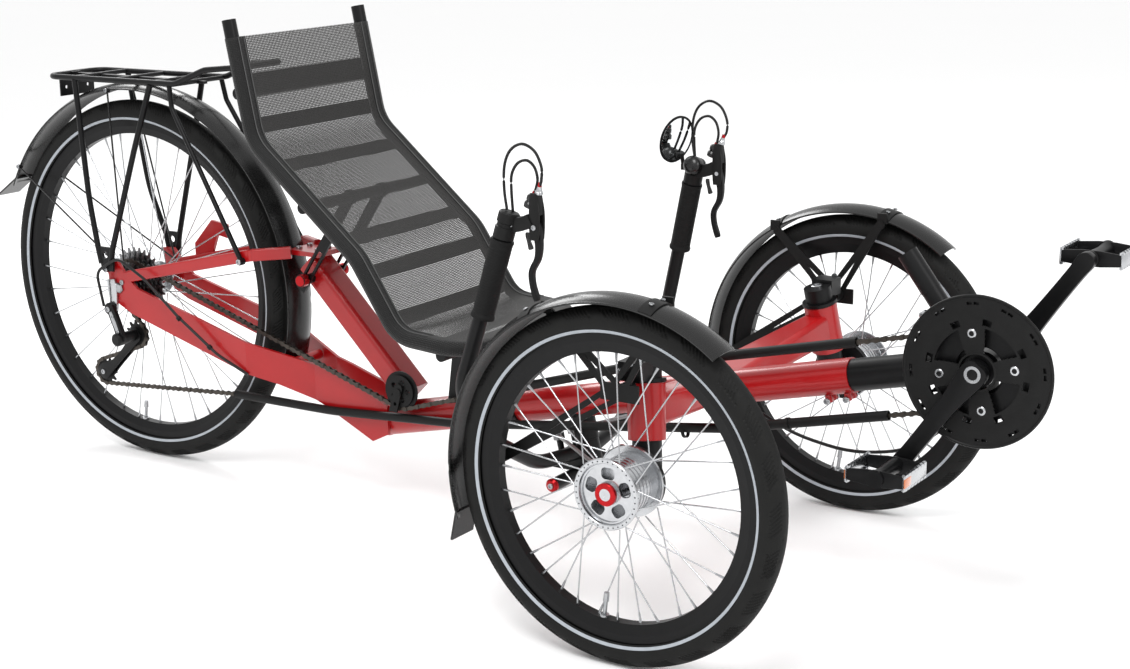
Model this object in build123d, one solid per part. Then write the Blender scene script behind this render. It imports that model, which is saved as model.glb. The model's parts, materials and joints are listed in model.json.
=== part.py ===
"""Recumbent tadpole tricycle: two steered front wheels, one driven rear wheel.

Millimetres.  +X points forward, +Y to the rider's left, +Z up, and the ground is Z = 0.
Everything is drawn from the middle of the front axle line, and `write` moves it by
FRONT_AXLE_X, so that the written parts share an origin under the middle of the whole tricycle.
"""

import os
from math import asin, atan2, cos, hypot, pi, radians, sin, sqrt, tan

from build123d import *

# ---------------------------------------------------------------- overall sizes
FRONT_AXLE_X = 518.58
WHEELBASE = 1191.0
TRACK = 724.0
FRONT_WHEEL_R = 243.0       # 20 inch wheel, 406 mm bead seat, 40 mm tyre
REAR_WHEEL_R = 319.5        # 26 inch wheel, 559 mm bead seat, 40 mm tyre
TYRE_WIDTH = 42.0
FIT = 0.05                  # radial clearance of a running fit
CLEAR = 0.4                 # clearance between pieces that only pass each other

# ---------------------------------------------------------------- frame
BEAM_ANGLE = 12.8           # boom and main tube, up towards the front
BB_X = 365.0                # crank axis ahead of the front axle
BB_Z = 378.0
MAIN_TUBE_R = 25.0
MAIN_TUBE_WALL = 2.0
MAIN_TUBE_START = 205.0     # distances back along the beam from the crank axis
MAIN_TUBE_END = 780.0
COLLAR_LENGTH = 18.0
REAR_BEAM_R = 27.0
REAR_BEAM_END = 1056.0
BOOM_WALL = 2.0
BOOM_INSERT = 140.0
BB_SHELL_R = 22.0
BB_SHELL_HALF = 34.0

# ---------------------------------------------------------------- steering
KINGPIN_Z = 323.0           # middle of the pivot tube
KINGPIN_X = -10.0
KINGPIN_Y = 272.0
KINGPIN_LEAN = 10.5         # top towards the middle
KINGPIN_CASTER = 7.0        # top towards the back
PIVOT_TUBE_R = 25.5
PIVOT_TUBE_BORE = 15.0
PIVOT_TUBE_HALF = 38.0
AXLE_STUB_R = 8.0
ARM_END = (-65.0, 292.0, 226.0)         # ball joint on the steering arm
LEVER_END = (-310.0, 20.0, 150.0)       # ball joint behind the handlebar's pivot
BAR_X = -290.0
BAR_R = 11.0
GRIP_R = 15.5
BAR_PIVOT_R = 10.0
STUD_R = 5.0
ROD_LIFT = 24.5             # middle of the tie rod's eye above LEVER_END
ROD_CLEAR = 9.0             # middle of its far end above ARM_END: it drops 4 mm at full lock
BAR_WALL = 2.4

# ---------------------------------------------------------------- drive
CHAIN_PITCH = 12.7
CHAIN_Y = -40.0
CHAIN_HEIGHT = 8.0
CHAIN_WIDTH = 6.4
CHAIN_SLOT = 3.0
RING_TEETH = (26, 36, 48)
RING_GAP = 7.5
COG_TEETH = (30, 26, 23, 21, 18, 16, 14, 12)
DRIVEN_COG = 3              # place of the cog that carries the chain
COG_GAP = 4.6
JOCKEY_TEETH = 11
IDLER_TEETH = 15
GUARD_R = 104.0
CRANK_LENGTH = 165.0
CRANK_ANGLE = 54.5          # left crank, forward and up
CHAIN_TUBE_R = 7.2
CHAIN_TUBE_BORE = 5.8
IDLER = (-603.0, 210.0)
GUIDE = (-1188.0, 230.0)
TENSION = (-1272.0, 152.0)
CHAIN_SPLIT = 232.0         # place along the beam where the front run ends inside its tube

# ---------------------------------------------------------------- rear end
DROPOUT_Y = 66.0
STAY_THICKNESS = 6.0
REAR_FENDER_R = 350.0
FRONT_FENDER_R = 260.0
FENDER_WIDTH = 58.0
FENDER_WALL = 2.0

# ---------------------------------------------------------------- seat
SEAT_HALF = 157.0
SEAT_TUBE_R = 11.0
SEAT_TUBE_WALL = 2.0
SEAT_CURVE = ((-824.0, 800.0), (-786.0, 612.0), (-590.0, 448.0), (-515.0, 335.0), (-385.0, 326.0))
SEAT_BENDS = (70.0, 90.0, 55.0)
SEAT_CORNER = 60.0
MESH_THICKNESS = 3.0
SEAT_PIVOT = (-500.0, 300.0)
STRUT_Y = 40.0

BEAM = Vector(cos(radians(BEAM_ANGLE)), 0, sin(radians(BEAM_ANGLE)))
BEAM_UP = Vector(-sin(radians(BEAM_ANGLE)), 0, cos(radians(BEAM_ANGLE)))
SIDES = {"right": -1, "left": 1}


# ---------------------------------------------------------------- helpers
def along(back, up=0.0, y=0.0):
    """A point a distance back along the beam from the crank axis."""
    point = Vector(BB_X, y, BB_Z) - BEAM * back + BEAM_UP * up
    return (point.X, point.Y, point.Z)


def rod(start, end, r):
    """A round bar between two points."""
    line = Vector(*end) - Vector(*start)
    return Solid.make_cylinder(r, line.length, Plane(origin=start, z_dir=line))


def bent(points, radii, r, bore=0.0):
    """A round bar or tube along straight runs joined by arcs."""
    path = FilletPolyline(*points, radius=radii)
    section = Circle(r)
    if bore:
        section = section - Circle(bore)
    return sweep(Plane(origin=path @ 0, z_dir=path % 0) * section, path=path)


def turned(outline, centre=(0, 0, 0)):
    """A solid of revolution about the Y direction, from (y, radius) points."""
    face = Plane.YZ * make_face(Polyline(*outline, close=True))
    return Pos(*centre) * revolve(face, Axis.Y)


def slab(outline, y, thickness):
    """A plate in the XZ plane, from (x, z) points, centred on y."""
    face = Plane.XZ * make_face(Polyline(*outline, close=True))
    return Pos(0, y, 0) * extrude(face, thickness / 2, both=True)


def disc(centre, r, y, thickness):
    """A round plate with its axis along Y, centred on y."""
    x, z = centre
    return rod((x, y - thickness / 2, z), (x, y + thickness / 2, z), r)


def brick(centre, size):
    """An upright box."""
    return Pos(*centre) * Box(*size)


def fuse(pieces):
    """One solid from pieces that touch or overlap."""
    pieces = list(pieces)
    return pieces[0].fuse(*pieces[1:]) if len(pieces) > 1 else pieces[0]


def pitch_radius(teeth):
    return CHAIN_PITCH / (2 * sin(pi / teeth))


def sprocket(teeth, centre, y, thickness, bore):
    """A toothed disc with its axis along Y."""
    root = pitch_radius(teeth) - 3.8
    tip = pitch_radius(teeth) + 3.4
    step = 2 * pi / teeth
    outline = []
    for tooth in range(teeth):
        for part, r in ((-0.30, root), (-0.10, tip), (0.10, tip), (0.30, root)):
            angle = (tooth + part) * step
            outline.append((centre[0] + r * cos(angle), centre[1] + r * sin(angle)))
    return slab(outline, y, thickness) - disc(centre, bore, y, thickness + 2)


def kingpin(up, side=-1):
    """A point on a steering axis, a distance up from its middle."""
    lean = tan(radians(KINGPIN_LEAN))
    caster = tan(radians(KINGPIN_CASTER))
    scale = 1 / sqrt(1 + lean**2 + caster**2)
    return (
        KINGPIN_X - up * caster * scale,
        side * (KINGPIN_Y - up * lean * scale),
        KINGPIN_Z + up * scale,
    )


# ---------------------------------------------------------------- wheels
def tyre(radius, centre):
    """A hollow tyre, open towards the rim."""
    half = TYRE_WIDTH / 2
    middle = radius - half
    wall = 3.5
    bead = middle - 14.0
    shell = Circle(half) - Circle(half - wall)
    below = Pos(0, bead - middle - half) * Rectangle(2 * TYRE_WIDTH, 2 * half)
    section = Plane.YZ * (Pos(0, middle) * (shell - below))
    return Pos(*centre) * revolve(section, Axis.Y)


def rim(radius, depth, centre):
    """A deep rim, open towards the tyre."""
    top = radius - TYRE_WIDTH / 2 - 14.0
    inner = top - depth
    outline = [
        (-12.5, top), (-10.5, top), (-9.0, top - 14), (9.0, top - 14), (10.5, top), (12.5, top),
        (11.5, top - 10), (7.5, inner), (-7.5, inner), (-11.5, top - 10),
    ]
    return turned(outline, centre)


def spokes(count, flanges, flange_r, inner_r, centre):
    """Straight crossing spokes from two hub flanges to the rim."""
    cx, cy, cz = centre
    made = []
    for number in range(count):
        side = number % 2
        lean = 24.0 if number % 4 < 2 else -24.0
        at_rim = 360.0 * number / count
        at_hub = at_rim - lean
        hub_y = flanges[side]
        rim_y = 3.0 if side else -3.0
        start_r = flange_r + 1.2
        end_r = inner_r - 0.9
        start = (cx + start_r * cos(radians(at_hub)), cy + hub_y, cz + start_r * sin(radians(at_hub)))
        end = (cx + end_r * cos(radians(at_rim)), cy + rim_y, cz + end_r * sin(radians(at_rim)))
        made.append(rod(start, end, 1.0))
    return made


FRONT_RIM_DEPTH = 25.0
REAR_RIM_DEPTH = 23.0
FRONT_HUB_HALF = 31.0
FRONT_FLANGE_R = 48.0


def front_hub(side):
    """A drum hub with a windowed outboard face, an end cap and spokes."""
    bore = AXLE_STUB_R + FIT
    web = [
        (-35, 48), (-31.5, 48), (-31.5, 38), (27.5, 38), (27.5, FRONT_FLANGE_R), (FRONT_HUB_HALF, FRONT_FLANGE_R),
        (FRONT_HUB_HALF, 41), (25, 39), (25, 16), (29, 16), (29, bore), (-14, bore), (-14, 33), (-35, 33),
    ]
    hollow = turned([(-8, 14), (20, 14), (20, 35), (-8, 35)])
    shell = turned(web) - hollow
    for number in range(5):
        angle = 90 + 72 * number
        window = Plane.XZ * (Rot(0, 0, angle) * (Pos(26.5, 0) * RectangleRounded(16, 20, 6)))
        shell = shell - Pos(0, 18, 0) * extrude(window, -12)
    cap = turned([(29, 14), (33, 14), (33, 0), (29, 0)])
    hub = [shell, cap] + spokes(36, (-33, 29), FRONT_FLANGE_R, hub_rim_inner(FRONT_WHEEL_R, FRONT_RIM_DEPTH), (0, 0, 0))
    whole = Compound(children=[part_of(piece) for piece in hub])
    if side < 0:
        whole = whole.mirror(Plane.XZ)
    return Pos(0, side * TRACK / 2, FRONT_WHEEL_R) * whole


def hub_rim_inner(radius, depth):
    return radius - TYRE_WIDTH / 2 - 14.0 - depth


def part_of(piece):
    """A plain solid out of any result of a boolean step."""
    solids = piece.solids()
    return solids[0] if len(solids) == 1 else Compound(children=list(solids))


def front_wheel(name, side):
    centre = (0, side * TRACK / 2, FRONT_WHEEL_R)
    write("tyre_" + name, tyre(FRONT_WHEEL_R, centre))
    write("rim_" + name, rim(FRONT_WHEEL_R, FRONT_RIM_DEPTH, centre))
    write("hub_" + name, front_hub(side))


REAR_AXLE = (-WHEELBASE, REAR_WHEEL_R)
FREEHUB_R = 15.0


def rear_hub():
    """Hub shell with the freewheel core, a through axle and spokes."""
    centre = (-WHEELBASE, 0, REAR_WHEEL_R)
    outline = [
        (-18, 29), (-15, 29), (-13, 20), (26, 20), (28, 29), (31, 29), (33, 18), (60, 14), (60, 6),
        (64, 6), (64, 0), (-64, 0), (-64, 6), (-61, 6), (-61, FREEHUB_R), (-20, FREEHUB_R),
    ]
    shell = turned(outline, centre)
    wires = spokes(36, (-16.5, 29.5), 29, hub_rim_inner(REAR_WHEEL_R, REAR_RIM_DEPTH), centre)
    return Compound(children=[part_of(piece) for piece in [shell] + wires])


def cassette():
    """Stepped cogs on one sleeve that turns on the freewheel core."""
    sleeve_start = CHAIN_Y + DRIVEN_COG * COG_GAP + 1.5
    sleeve_end = CHAIN_Y - (len(COG_TEETH) - 1 - DRIVEN_COG) * COG_GAP - 1.5
    x, z = REAR_AXLE
    pieces = [rod((x, sleeve_end, z), (x, sleeve_start, z), FREEHUB_R + 3)]
    for place, teeth in enumerate(COG_TEETH):
        y = CHAIN_Y + (DRIVEN_COG - place) * COG_GAP
        pieces.append(sprocket(teeth, REAR_AXLE, y, 1.8, FREEHUB_R + 1))
    whole = fuse(pieces)
    return whole - rod((x, sleeve_end - 1, z), (x, sleeve_start + 1, z), FREEHUB_R + FIT)


# ---------------------------------------------------------------- frame
def main_tube():
    """Round beam that holds the boom, with two clamp lugs under its front end."""
    start = along(MAIN_TUBE_START)
    end = along(MAIN_TUBE_END)
    bore = MAIN_TUBE_R - MAIN_TUBE_WALL
    pieces = [rod(start, end, MAIN_TUBE_R)]
    for back in (MAIN_TUBE_START + 12, MAIN_TUBE_START + 42):
        for y in (-7, 7):
            lug = rod(along(back, -MAIN_TUBE_R + 2, y), along(back, -MAIN_TUBE_R - 9, y), 5)
            pieces.append(lug)
        pieces.append(rod(along(back, -MAIN_TUBE_R - 6, -14), along(back, -MAIN_TUBE_R - 6, 14), 3.5))
    body = fuse(pieces)
    return body - rod(along(MAIN_TUBE_START - 1), along(MAIN_TUBE_START + BOOM_INSERT + 30), bore) - rod(
        along(MAIN_TUBE_START + BOOM_INSERT), along(MAIN_TUBE_END + 1), bore - 1
    )


def cross_arm(side):
    """Tapered arm from the main tube to the pivot tube, and the pivot tube."""
    lower = kingpin(-PIVOT_TUBE_HALF, side)
    upper = kingpin(PIVOT_TUBE_HALF, side)
    back = (BB_X - (-66.0)) / cos(radians(BEAM_ANGLE))
    inner = Vector(*along(back, 3, side * 14))
    outer = Vector(KINGPIN_X - 2, side * (KINGPIN_Y - 12), KINGPIN_Z)
    line = (outer - inner).normalized()
    root = Plane(origin=inner, x_dir=Vector(1, 0, 0.2), z_dir=line)
    tip = Plane(origin=outer, x_dir=Vector(1, 0, 0.1), z_dir=line)
    arm = loft([root * RectangleRounded(96, 32, 8), tip * RectangleRounded(40, 46, 8)])
    core = loft([root * RectangleRounded(88, 24, 4), tip * RectangleRounded(32, 38, 4)])
    pieces = [arm - core, rod(lower, upper, PIVOT_TUBE_R)]
    body = fuse(pieces) - rod(kingpin(-PIVOT_TUBE_HALF - 2, side), kingpin(PIVOT_TUBE_HALF + 2, side), PIVOT_TUBE_BORE)
    hole = rod(along(back - 150), along(back + 150), MAIN_TUBE_R)
    return body - hole


def cross_arms():
    return Compound(children=[part_of(cross_arm(side)) for side in SIDES.values()])


BAR_BACK = (BB_X - BAR_X) / cos(radians(BEAM_ANGLE))
MOUNT_DEPTH = 60.0


def steering_mount():
    """Collar at the beam joint and the bearing housing under the main tube."""
    collar = rod(along(MAIN_TUBE_END), along(MAIN_TUBE_END + COLLAR_LENGTH), MAIN_TUBE_R + 4)
    housing = rod(along(BAR_BACK, -MOUNT_DEPTH), along(BAR_BACK, 0), 19)
    housing = housing - rod(along(BAR_BACK - 60), along(BAR_BACK + 60), MAIN_TUBE_R)
    housing = housing - rod(along(BAR_BACK, -MOUNT_DEPTH - 1), along(BAR_BACK, -MAIN_TUBE_R - 4), BAR_PIVOT_R)
    return Compound(children=[part_of(collar), part_of(housing)])


BRIDGE = (-840.0, 222.0)


def rear_beam():
    """Round beam behind the collar, hollow as far as the seat ears and solid at its end."""
    start = along(MAIN_TUBE_END + COLLAR_LENGTH)
    end = along(REAR_BEAM_END)
    body = rod(start, end, REAR_BEAM_R)
    hollow = rod(along(MAIN_TUBE_END + COLLAR_LENGTH - 1), along(REAR_BEAM_END - 70), REAR_BEAM_R - 2.5)
    return body - hollow


SEAT_POST_LOW = (-610.0, 196.0)
SEAT_POST_TOP = (-806.0, 394.0)
SEAT_POST_WIDE = 52.0
SEAT_POST_DEEP = 40.0


def seat_tube():
    """Box-section tube from the beam up to the plate behind the seat."""
    low = Vector(SEAT_POST_LOW[0], 0, SEAT_POST_LOW[1])
    top = Vector(SEAT_POST_TOP[0], 0, SEAT_POST_TOP[1])
    line = (top - low).normalized()
    plane = Plane(origin=low, x_dir=(0, 1, 0), z_dir=line)
    section = RectangleRounded(SEAT_POST_WIDE, SEAT_POST_DEEP, 9)
    tube = extrude(plane * section, (top - low).length)
    core = RectangleRounded(SEAT_POST_WIDE - 6, SEAT_POST_DEEP - 6, 6)
    tube = tube - extrude(Plane(origin=low + line * 30, x_dir=(0, 1, 0), z_dir=line) * core, (top - low).length - 33)
    tube = tube - rod(along(MAIN_TUBE_END), along(REAR_BEAM_END + 40), REAR_BEAM_R)
    plate = brick((SEAT_POST_TOP[0] - 1, 0, SEAT_POST_TOP[1] + 17), (66, 56, 8))
    boss = rod((-745, 0, 318), (-757, 0, 306), 8)
    head = SEAT_POST_TOP[1] + 20
    bolts = [rod((x, -12, head), (x, -12, head + 5), 4.5) for x in (-828, -788)]
    return fuse([tube, plate, boss] + bolts)


STAY_REAR = [(-1216, 338), (-1222, 364), (-1194, 366), (-1176, 345), (-1150, 322)]
STAY_KNEES = ((-905.0, DROPOUT_Y + STAY_THICKNESS / 2), (-790.0, REAR_BEAM_R + 2.0))


def lower_stay(side):
    """Deep blade from the rear dropout, bent inwards in front of the wheel to the beam."""
    outline = STAY_REAR + [
        (-1004, 284), (-760, 218), (-690, 196), (-640, 176),
        (-640, 128), (-672, 112), (-775, 160), (-850, 188), (-1165, 276), (-1216, 300),
    ]
    side_view = slab(outline, side * 50, 120)
    half = STAY_THICKNESS / 2
    (x1, y1), (x2, y2) = STAY_KNEES
    centre = [(-1230, y1), (x1, y1), (x2, y2), (-630, y2)]
    plan = [(x, side * (y + half)) for x, y in centre] + [(x, side * (y - half)) for x, y in centre[::-1]]
    plan_face = Plane.XY * make_face(Polyline(*plan, close=True))
    stay = side_view & extrude(Pos(0, 0, 90) * plan_face, 300)
    axle_hole = rod((-WHEELBASE, side * 50, REAR_WHEEL_R), (-WHEELBASE, side * 90, REAR_WHEEL_R), 6 + FIT)
    beam = rod(along(MAIN_TUBE_END), along(REAR_BEAM_END + 40), REAR_BEAM_R)
    return stay - axle_hole - beam


def lower_stays():
    """Both blades and the round bridge that carries the front end of the rear fender."""
    blades = [part_of(lower_stay(side)) for side in SIDES.values()]
    bridge = rod((BRIDGE[0], -40.2, BRIDGE[1]), (BRIDGE[0], 40.2, BRIDGE[1]), 8)
    return Compound(children=blades + [bridge])


def upper_stay(side):
    """Slim square stay from the dropout up to the plate behind the seat."""
    rear = (-1185.0, side * (DROPOUT_Y + 3), 338.0)
    knee = (-884.0, side * (DROPOUT_Y + 3), 408.0)
    front = (-828.0, side * 34.0, 412.0)
    pieces = []
    for start, end in ((rear, knee), (knee, front)):
        line = Vector(*end) - Vector(*start)
        plane = Plane(origin=start, x_dir=(0, 1, 0) if start == rear else Vector(0, 0, 1).cross(line), z_dir=line)
        pieces.append(extrude(plane * RectangleRounded(12, 20, 3), line.length))
    pieces.append(rod((knee[0], knee[1], knee[2] - 9), (knee[0], knee[1], knee[2] + 9), 6.5))
    stay = fuse(pieces)
    plate = brick((SEAT_POST_TOP[0] - 1, 0, SEAT_POST_TOP[1] + 17), (66, 56, 8))
    keep_out = slab(STAY_REAR + [(-1004, 284), (-1004, 200), (-1216, 200)], side * 69, 20)
    if side > 0:
        outline = [(-1140, 345), (-1105, 352), (-1085, 400), (-1062, 396), (-1062, 420), (-1098, 425), (-1140, 380)]
        tab = slab(outline, side * 69, 6)
        stay = fuse([stay, tab])
    return stay - plate - keep_out


def upper_stays():
    return Compound(children=[part_of(upper_stay(side)) for side in SIDES.values()])


def rear_derailleur():
    """Hanger plate and the fixed knuckles down to the cage pivot."""
    y = -(DROPOUT_Y + STAY_THICKNESS + 3)
    hanger = slab([(-1218, 330), (-1196, 334), (-1190, 268), (-1212, 268)], y, 5)
    knuckle = rod((-1208, y - 12, 282), (-1208, y + 2, 282), 10)
    link = slab([(-1218, 284), (-1200, 290), (-1176, 236), (-1192, 222)], y - 7, 9)
    pivot = rod((GUIDE[0], y - 12, GUIDE[1]), (GUIDE[0], CHAIN_Y - 8.5, GUIDE[1]), 9)
    return fuse([hanger, knuckle, link, pivot])


def jockey_cage():
    """Two plates, with pins, that hold the guide and tension pulleys."""
    outline_line = (Vector(*GUIDE) - Vector(*TENSION)).normalized()
    side = Vector(-outline_line.Y, outline_line.X) * 8
    a, b = Vector(*GUIDE), Vector(*TENSION)
    outline = [(p.X, p.Y) for p in (a + side, b + side, b - side, a - side)]
    pieces = []
    for y in (CHAIN_Y - 7, CHAIN_Y + 7):
        plate = fuse([slab(outline, y, 2), disc(GUIDE, 14, y, 2), disc(TENSION, 14, y, 2)])
        pieces.append(plate)
    for centre in (GUIDE, TENSION):
        pieces.append(disc(centre, 3, CHAIN_Y, 14))
    return fuse(pieces)


def jockey(centre):
    return sprocket(JOCKEY_TEETH, centre, CHAIN_Y, 2.4, 3 + FIT)


def idler_wheel():
    """Guide wheel that turns the driving run of the chain under itself."""
    r = pitch_radius(IDLER_TEETH)
    wheel = disc(IDLER, r - 4.4, CHAIN_Y, 10) - disc(IDLER, 5 + FIT, CHAIN_Y, 12)
    for number in range(5):
        angle = radians(72 * number)
        hole = (IDLER[0] + 15 * cos(angle), IDLER[1] + 15 * sin(angle))
        wheel = wheel - disc(hole, 4.5, CHAIN_Y, 12)
    tread = disc(IDLER, r + 1.5, CHAIN_Y, 2.4) - disc(IDLER, r - 6, CHAIN_Y, 4)
    return fuse([wheel, tread])


def idler_bracket():
    """Slotted arm outside the idler and the bolt through it into the seat tube."""
    arm_low = (IDLER[0] - 12, IDLER[1] - 35)
    outline = [
        (IDLER[0] - 8, IDLER[1] + 6), (IDLER[0] + 8, IDLER[1] + 6),
        (arm_low[0] + 8, arm_low[1]), (arm_low[0] - 8, arm_low[1]),
    ]
    arm = fuse([slab(outline, CHAIN_Y - 8, 3), disc((IDLER[0], IDLER[1] + 5), 8, CHAIN_Y - 8, 3)])
    arm = arm - disc((arm_low[0] + 5, arm_low[1] + 14), 3, CHAIN_Y - 8, 5)
    inner = -SEAT_POST_WIDE / 2
    bolt = rod((IDLER[0], CHAIN_Y - 11, IDLER[1]), (IDLER[0], inner, IDLER[1]), 5)
    return fuse([arm, bolt])


# ---------------------------------------------------------------- chain
def offset_point(centre, r, angle):
    return (centre[0] + r * cos(angle), centre[1] + r * sin(angle))


def tangent(first, second, turn_first, turn_second):
    """Tangent points of a belt from one pulley to the next; turn is +1 anticlockwise."""
    (c1, r1), (c2, r2) = first, second
    dx, dz = c2[0] - c1[0], c2[1] - c1[1]
    distance = hypot(dx, dz)
    signed = turn_first * r1 - turn_second * r2
    along_line = atan2(dz, dx)
    normal = along_line - pi / 2 + asin(signed / distance)
    p1 = offset_point(c1, turn_first * r1, normal)
    p2 = offset_point(c2, turn_second * r2, normal)
    return p1, p2


def run(a, b):
    """A straight length of chain in the XZ plane."""
    dx, dz = b[0] - a[0], b[1] - a[1]
    length = hypot(dx, dz)
    nx, nz = -dz / length * CHAIN_HEIGHT / 2, dx / length * CHAIN_HEIGHT / 2
    outline = [(a[0] + nx, a[1] + nz), (b[0] + nx, b[1] + nz), (b[0] - nx, b[1] - nz), (a[0] - nx, a[1] - nz)]
    return slab(outline, CHAIN_Y, CHAIN_WIDTH)


def wrap(centre, r, a, b, turn):
    """The length of chain that lies on a pulley between two tangent points."""
    start = atan2(a[1] - centre[1], a[0] - centre[0])
    sweep_angle = (atan2(b[1] - centre[1], b[0] - centre[0]) - start) * turn % (2 * pi)
    ring = disc(centre, r + CHAIN_HEIGHT / 2, CHAIN_Y, CHAIN_WIDTH)
    ring = ring - disc(centre, r - CHAIN_HEIGHT / 2, CHAIN_Y, CHAIN_WIDTH + 2)
    reach = 3 * r
    steps = 8
    fan = [centre]
    for step in range(steps + 1):
        fan.append(offset_point(centre, reach, start + turn * sweep_angle * step / steps))
    return ring & slab(fan, CHAIN_Y, CHAIN_WIDTH)


def chain_slot(centre, teeth):
    return disc(centre, pitch_radius(teeth) + 5, CHAIN_Y, CHAIN_SLOT)


RING = (BB_X, BB_Z)
RING_R = pitch_radius(RING_TEETH[0])


def chain_front():
    """The chain round the chainring and back into the two chain tubes."""
    top = along(0, RING_R)
    bottom = along(0, -RING_R)
    top_end = along(CHAIN_SPLIT - 0.3, RING_R)
    bottom_end = along(CHAIN_SPLIT - 0.3, -RING_R)
    flat = [(p[0], p[2]) for p in (top_end, top, bottom, bottom_end)]
    pieces = [run(flat[0], flat[1]), wrap(RING, RING_R, flat[1], flat[2], -1), run(flat[2], flat[3])]
    return fuse(pieces) - chain_slot(RING, RING_TEETH[0])


LOWER_BENDS = ((-489.0, 172.0), (-750.0, 154.5), (-960.0, 153.0))


def upper_line():
    """The driving run: the split inside the tube, then the bend over the main tube."""
    start = along(CHAIN_SPLIT, RING_R)
    bend = along(525.0, RING_R)
    return (start[0], start[2]), (bend[0], bend[2])


def lower_line():
    start = along(CHAIN_SPLIT, -RING_R)
    bend = along(400.0, -RING_R)
    return [(start[0], start[2]), (bend[0], bend[2])] + list(LOWER_BENDS)


def chain_rear():
    """The chain from the upper tube round idler, cog and pulleys to the lower tube."""
    cog = (REAR_AXLE, pitch_radius(COG_TEETH[DRIVEN_COG]))
    idler = (IDLER, pitch_radius(IDLER_TEETH))
    guide = (GUIDE, pitch_radius(JOCKEY_TEETH))
    tension = (TENSION, pitch_radius(JOCKEY_TEETH))
    start, bend = upper_line()
    low = lower_line()
    a1, a2 = tangent((bend, 0.001), idler, -1, -1)
    b1, b2 = tangent(idler, cog, -1, 1)
    c1, c2 = tangent(cog, guide, 1, -1)
    d1, d2 = tangent(guide, tension, -1, 1)
    e1, e2 = tangent(tension, (low[-1], 0.001), 1, 1)
    pieces = [
        run(start, a1), run(a1, a2), wrap(IDLER, idler[1], a2, b1, -1), run(b1, b2),
        wrap(REAR_AXLE, cog[1], b2, c1, 1), run(c1, c2), wrap(GUIDE, guide[1], c2, d1, -1), run(d1, d2),
        wrap(TENSION, tension[1], d2, e1, 1), run(e1, e2),
    ]
    for a, b in zip(low[:0:-1], low[-2::-1]):
        pieces.append(run(a, b))
    for joint in [bend] + low[1:]:
        pieces.append(disc(joint, CHAIN_HEIGHT / 2, CHAIN_Y, CHAIN_WIDTH))
    body = fuse(pieces)
    for centre, teeth in ((REAR_AXLE, COG_TEETH[DRIVEN_COG]), (GUIDE, JOCKEY_TEETH), (TENSION, JOCKEY_TEETH)):
        body = body - chain_slot(centre, teeth)
    return body - chain_slot(IDLER, IDLER_TEETH)


def chain_tubes():
    """The two plastic tubes that guide the chain past the frame."""
    start, bend = upper_line()
    idler = (IDLER, pitch_radius(IDLER_TEETH))
    bend_end, stop = tangent((bend, 0.001), idler, -1, -1)
    reach = 0.60
    back = (bend[0] + (stop[0] - bend[0]) * reach, bend[1] + (stop[1] - bend[1]) * reach)
    front = along(MAIN_TUBE_START - 33, RING_R, CHAIN_Y)
    upper_points = [front, (bend[0], CHAIN_Y, bend[1]), (back[0], CHAIN_Y, back[1])]
    upper = bent(upper_points, [600.0], CHAIN_TUBE_R, CHAIN_TUBE_BORE)
    low = lower_line()
    front = along(MAIN_TUBE_START - 60, -RING_R, CHAIN_Y)
    lower_points = [front] + [(x, CHAIN_Y, z) for x, z in low[1:]]
    lower = bent(lower_points, [300.0, 600.0, 600.0], CHAIN_TUBE_R, CHAIN_TUBE_BORE)
    return Compound(children=[part_of(upper), part_of(lower)])


# ---------------------------------------------------------------- boom and cranks
POST_R = 14.3
POST_WALL = 2.5
POST_NECK_R = 13.8          # lower part of the post, where the derailleur clamps
POST_CLAMP_LENGTH = 60.0    # upper part of the post, free for an accessory
POST_TOP = (238.0, 0.0, 514.0)


def boom():
    """Sliding black boom, crank shell and the short open post over it."""
    tube = rod(along(0), along(MAIN_TUBE_START + BOOM_INSERT), MAIN_TUBE_R - MAIN_TUBE_WALL - FIT)
    tube = tube - rod(along(0), along(MAIN_TUBE_START + BOOM_INSERT + 1), MAIN_TUBE_R - MAIN_TUBE_WALL - FIT - BOOM_WALL)
    shell = rod((BB_X, -BB_SHELL_HALF, BB_Z), (BB_X, BB_SHELL_HALF, BB_Z), BB_SHELL_R)
    post_low = along(26, 10)
    post_line = (Vector(*POST_TOP) - Vector(*post_low)).normalized()
    shoulder = tuple(Vector(*POST_TOP) - post_line * POST_CLAMP_LENGTH)
    post = fuse([rod(post_low, shoulder, POST_NECK_R), rod(shoulder, POST_TOP, POST_R)])
    cup_end = Vector(*post_low) + (Vector(*POST_TOP) - Vector(*post_low)) * 0.55
    cup = rod(POST_TOP, tuple(cup_end), POST_R - POST_WALL)
    body = fuse([tube, shell, post]) - rod((BB_X, -50, BB_Z), (BB_X, 50, BB_Z), 12 + FIT)
    return body - cup


def front_derailleur():
    """Clamp on the post, an arm and the open cage over the driving run of the chain."""
    low = Vector(*along(26, 10))
    top = Vector(*POST_TOP)
    line = (top - low).normalized()
    middle = low + line * 70
    ring = rod(tuple(middle - line * 8), tuple(middle + line * 8), POST_R + 4)
    ring = ring - rod(tuple(low), tuple(top), POST_NECK_R)
    arm = brick((272, -25.4, 440), (56, 20, 14))
    outline = [(214, 388), (218, 430), (262, 450), (268, 430), (250, 392)]
    inner = slab(outline, CHAIN_Y + 6.5, 1.6)
    outer = slab(outline, CHAIN_Y - 6.5, 1.6)
    bridge = slab([(219, 430), (262, 450), (263, 447), (220, 427)], CHAIN_Y, 13)
    return fuse([ring, arm, inner, outer, bridge])


SPIDER_R = 52.0


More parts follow.
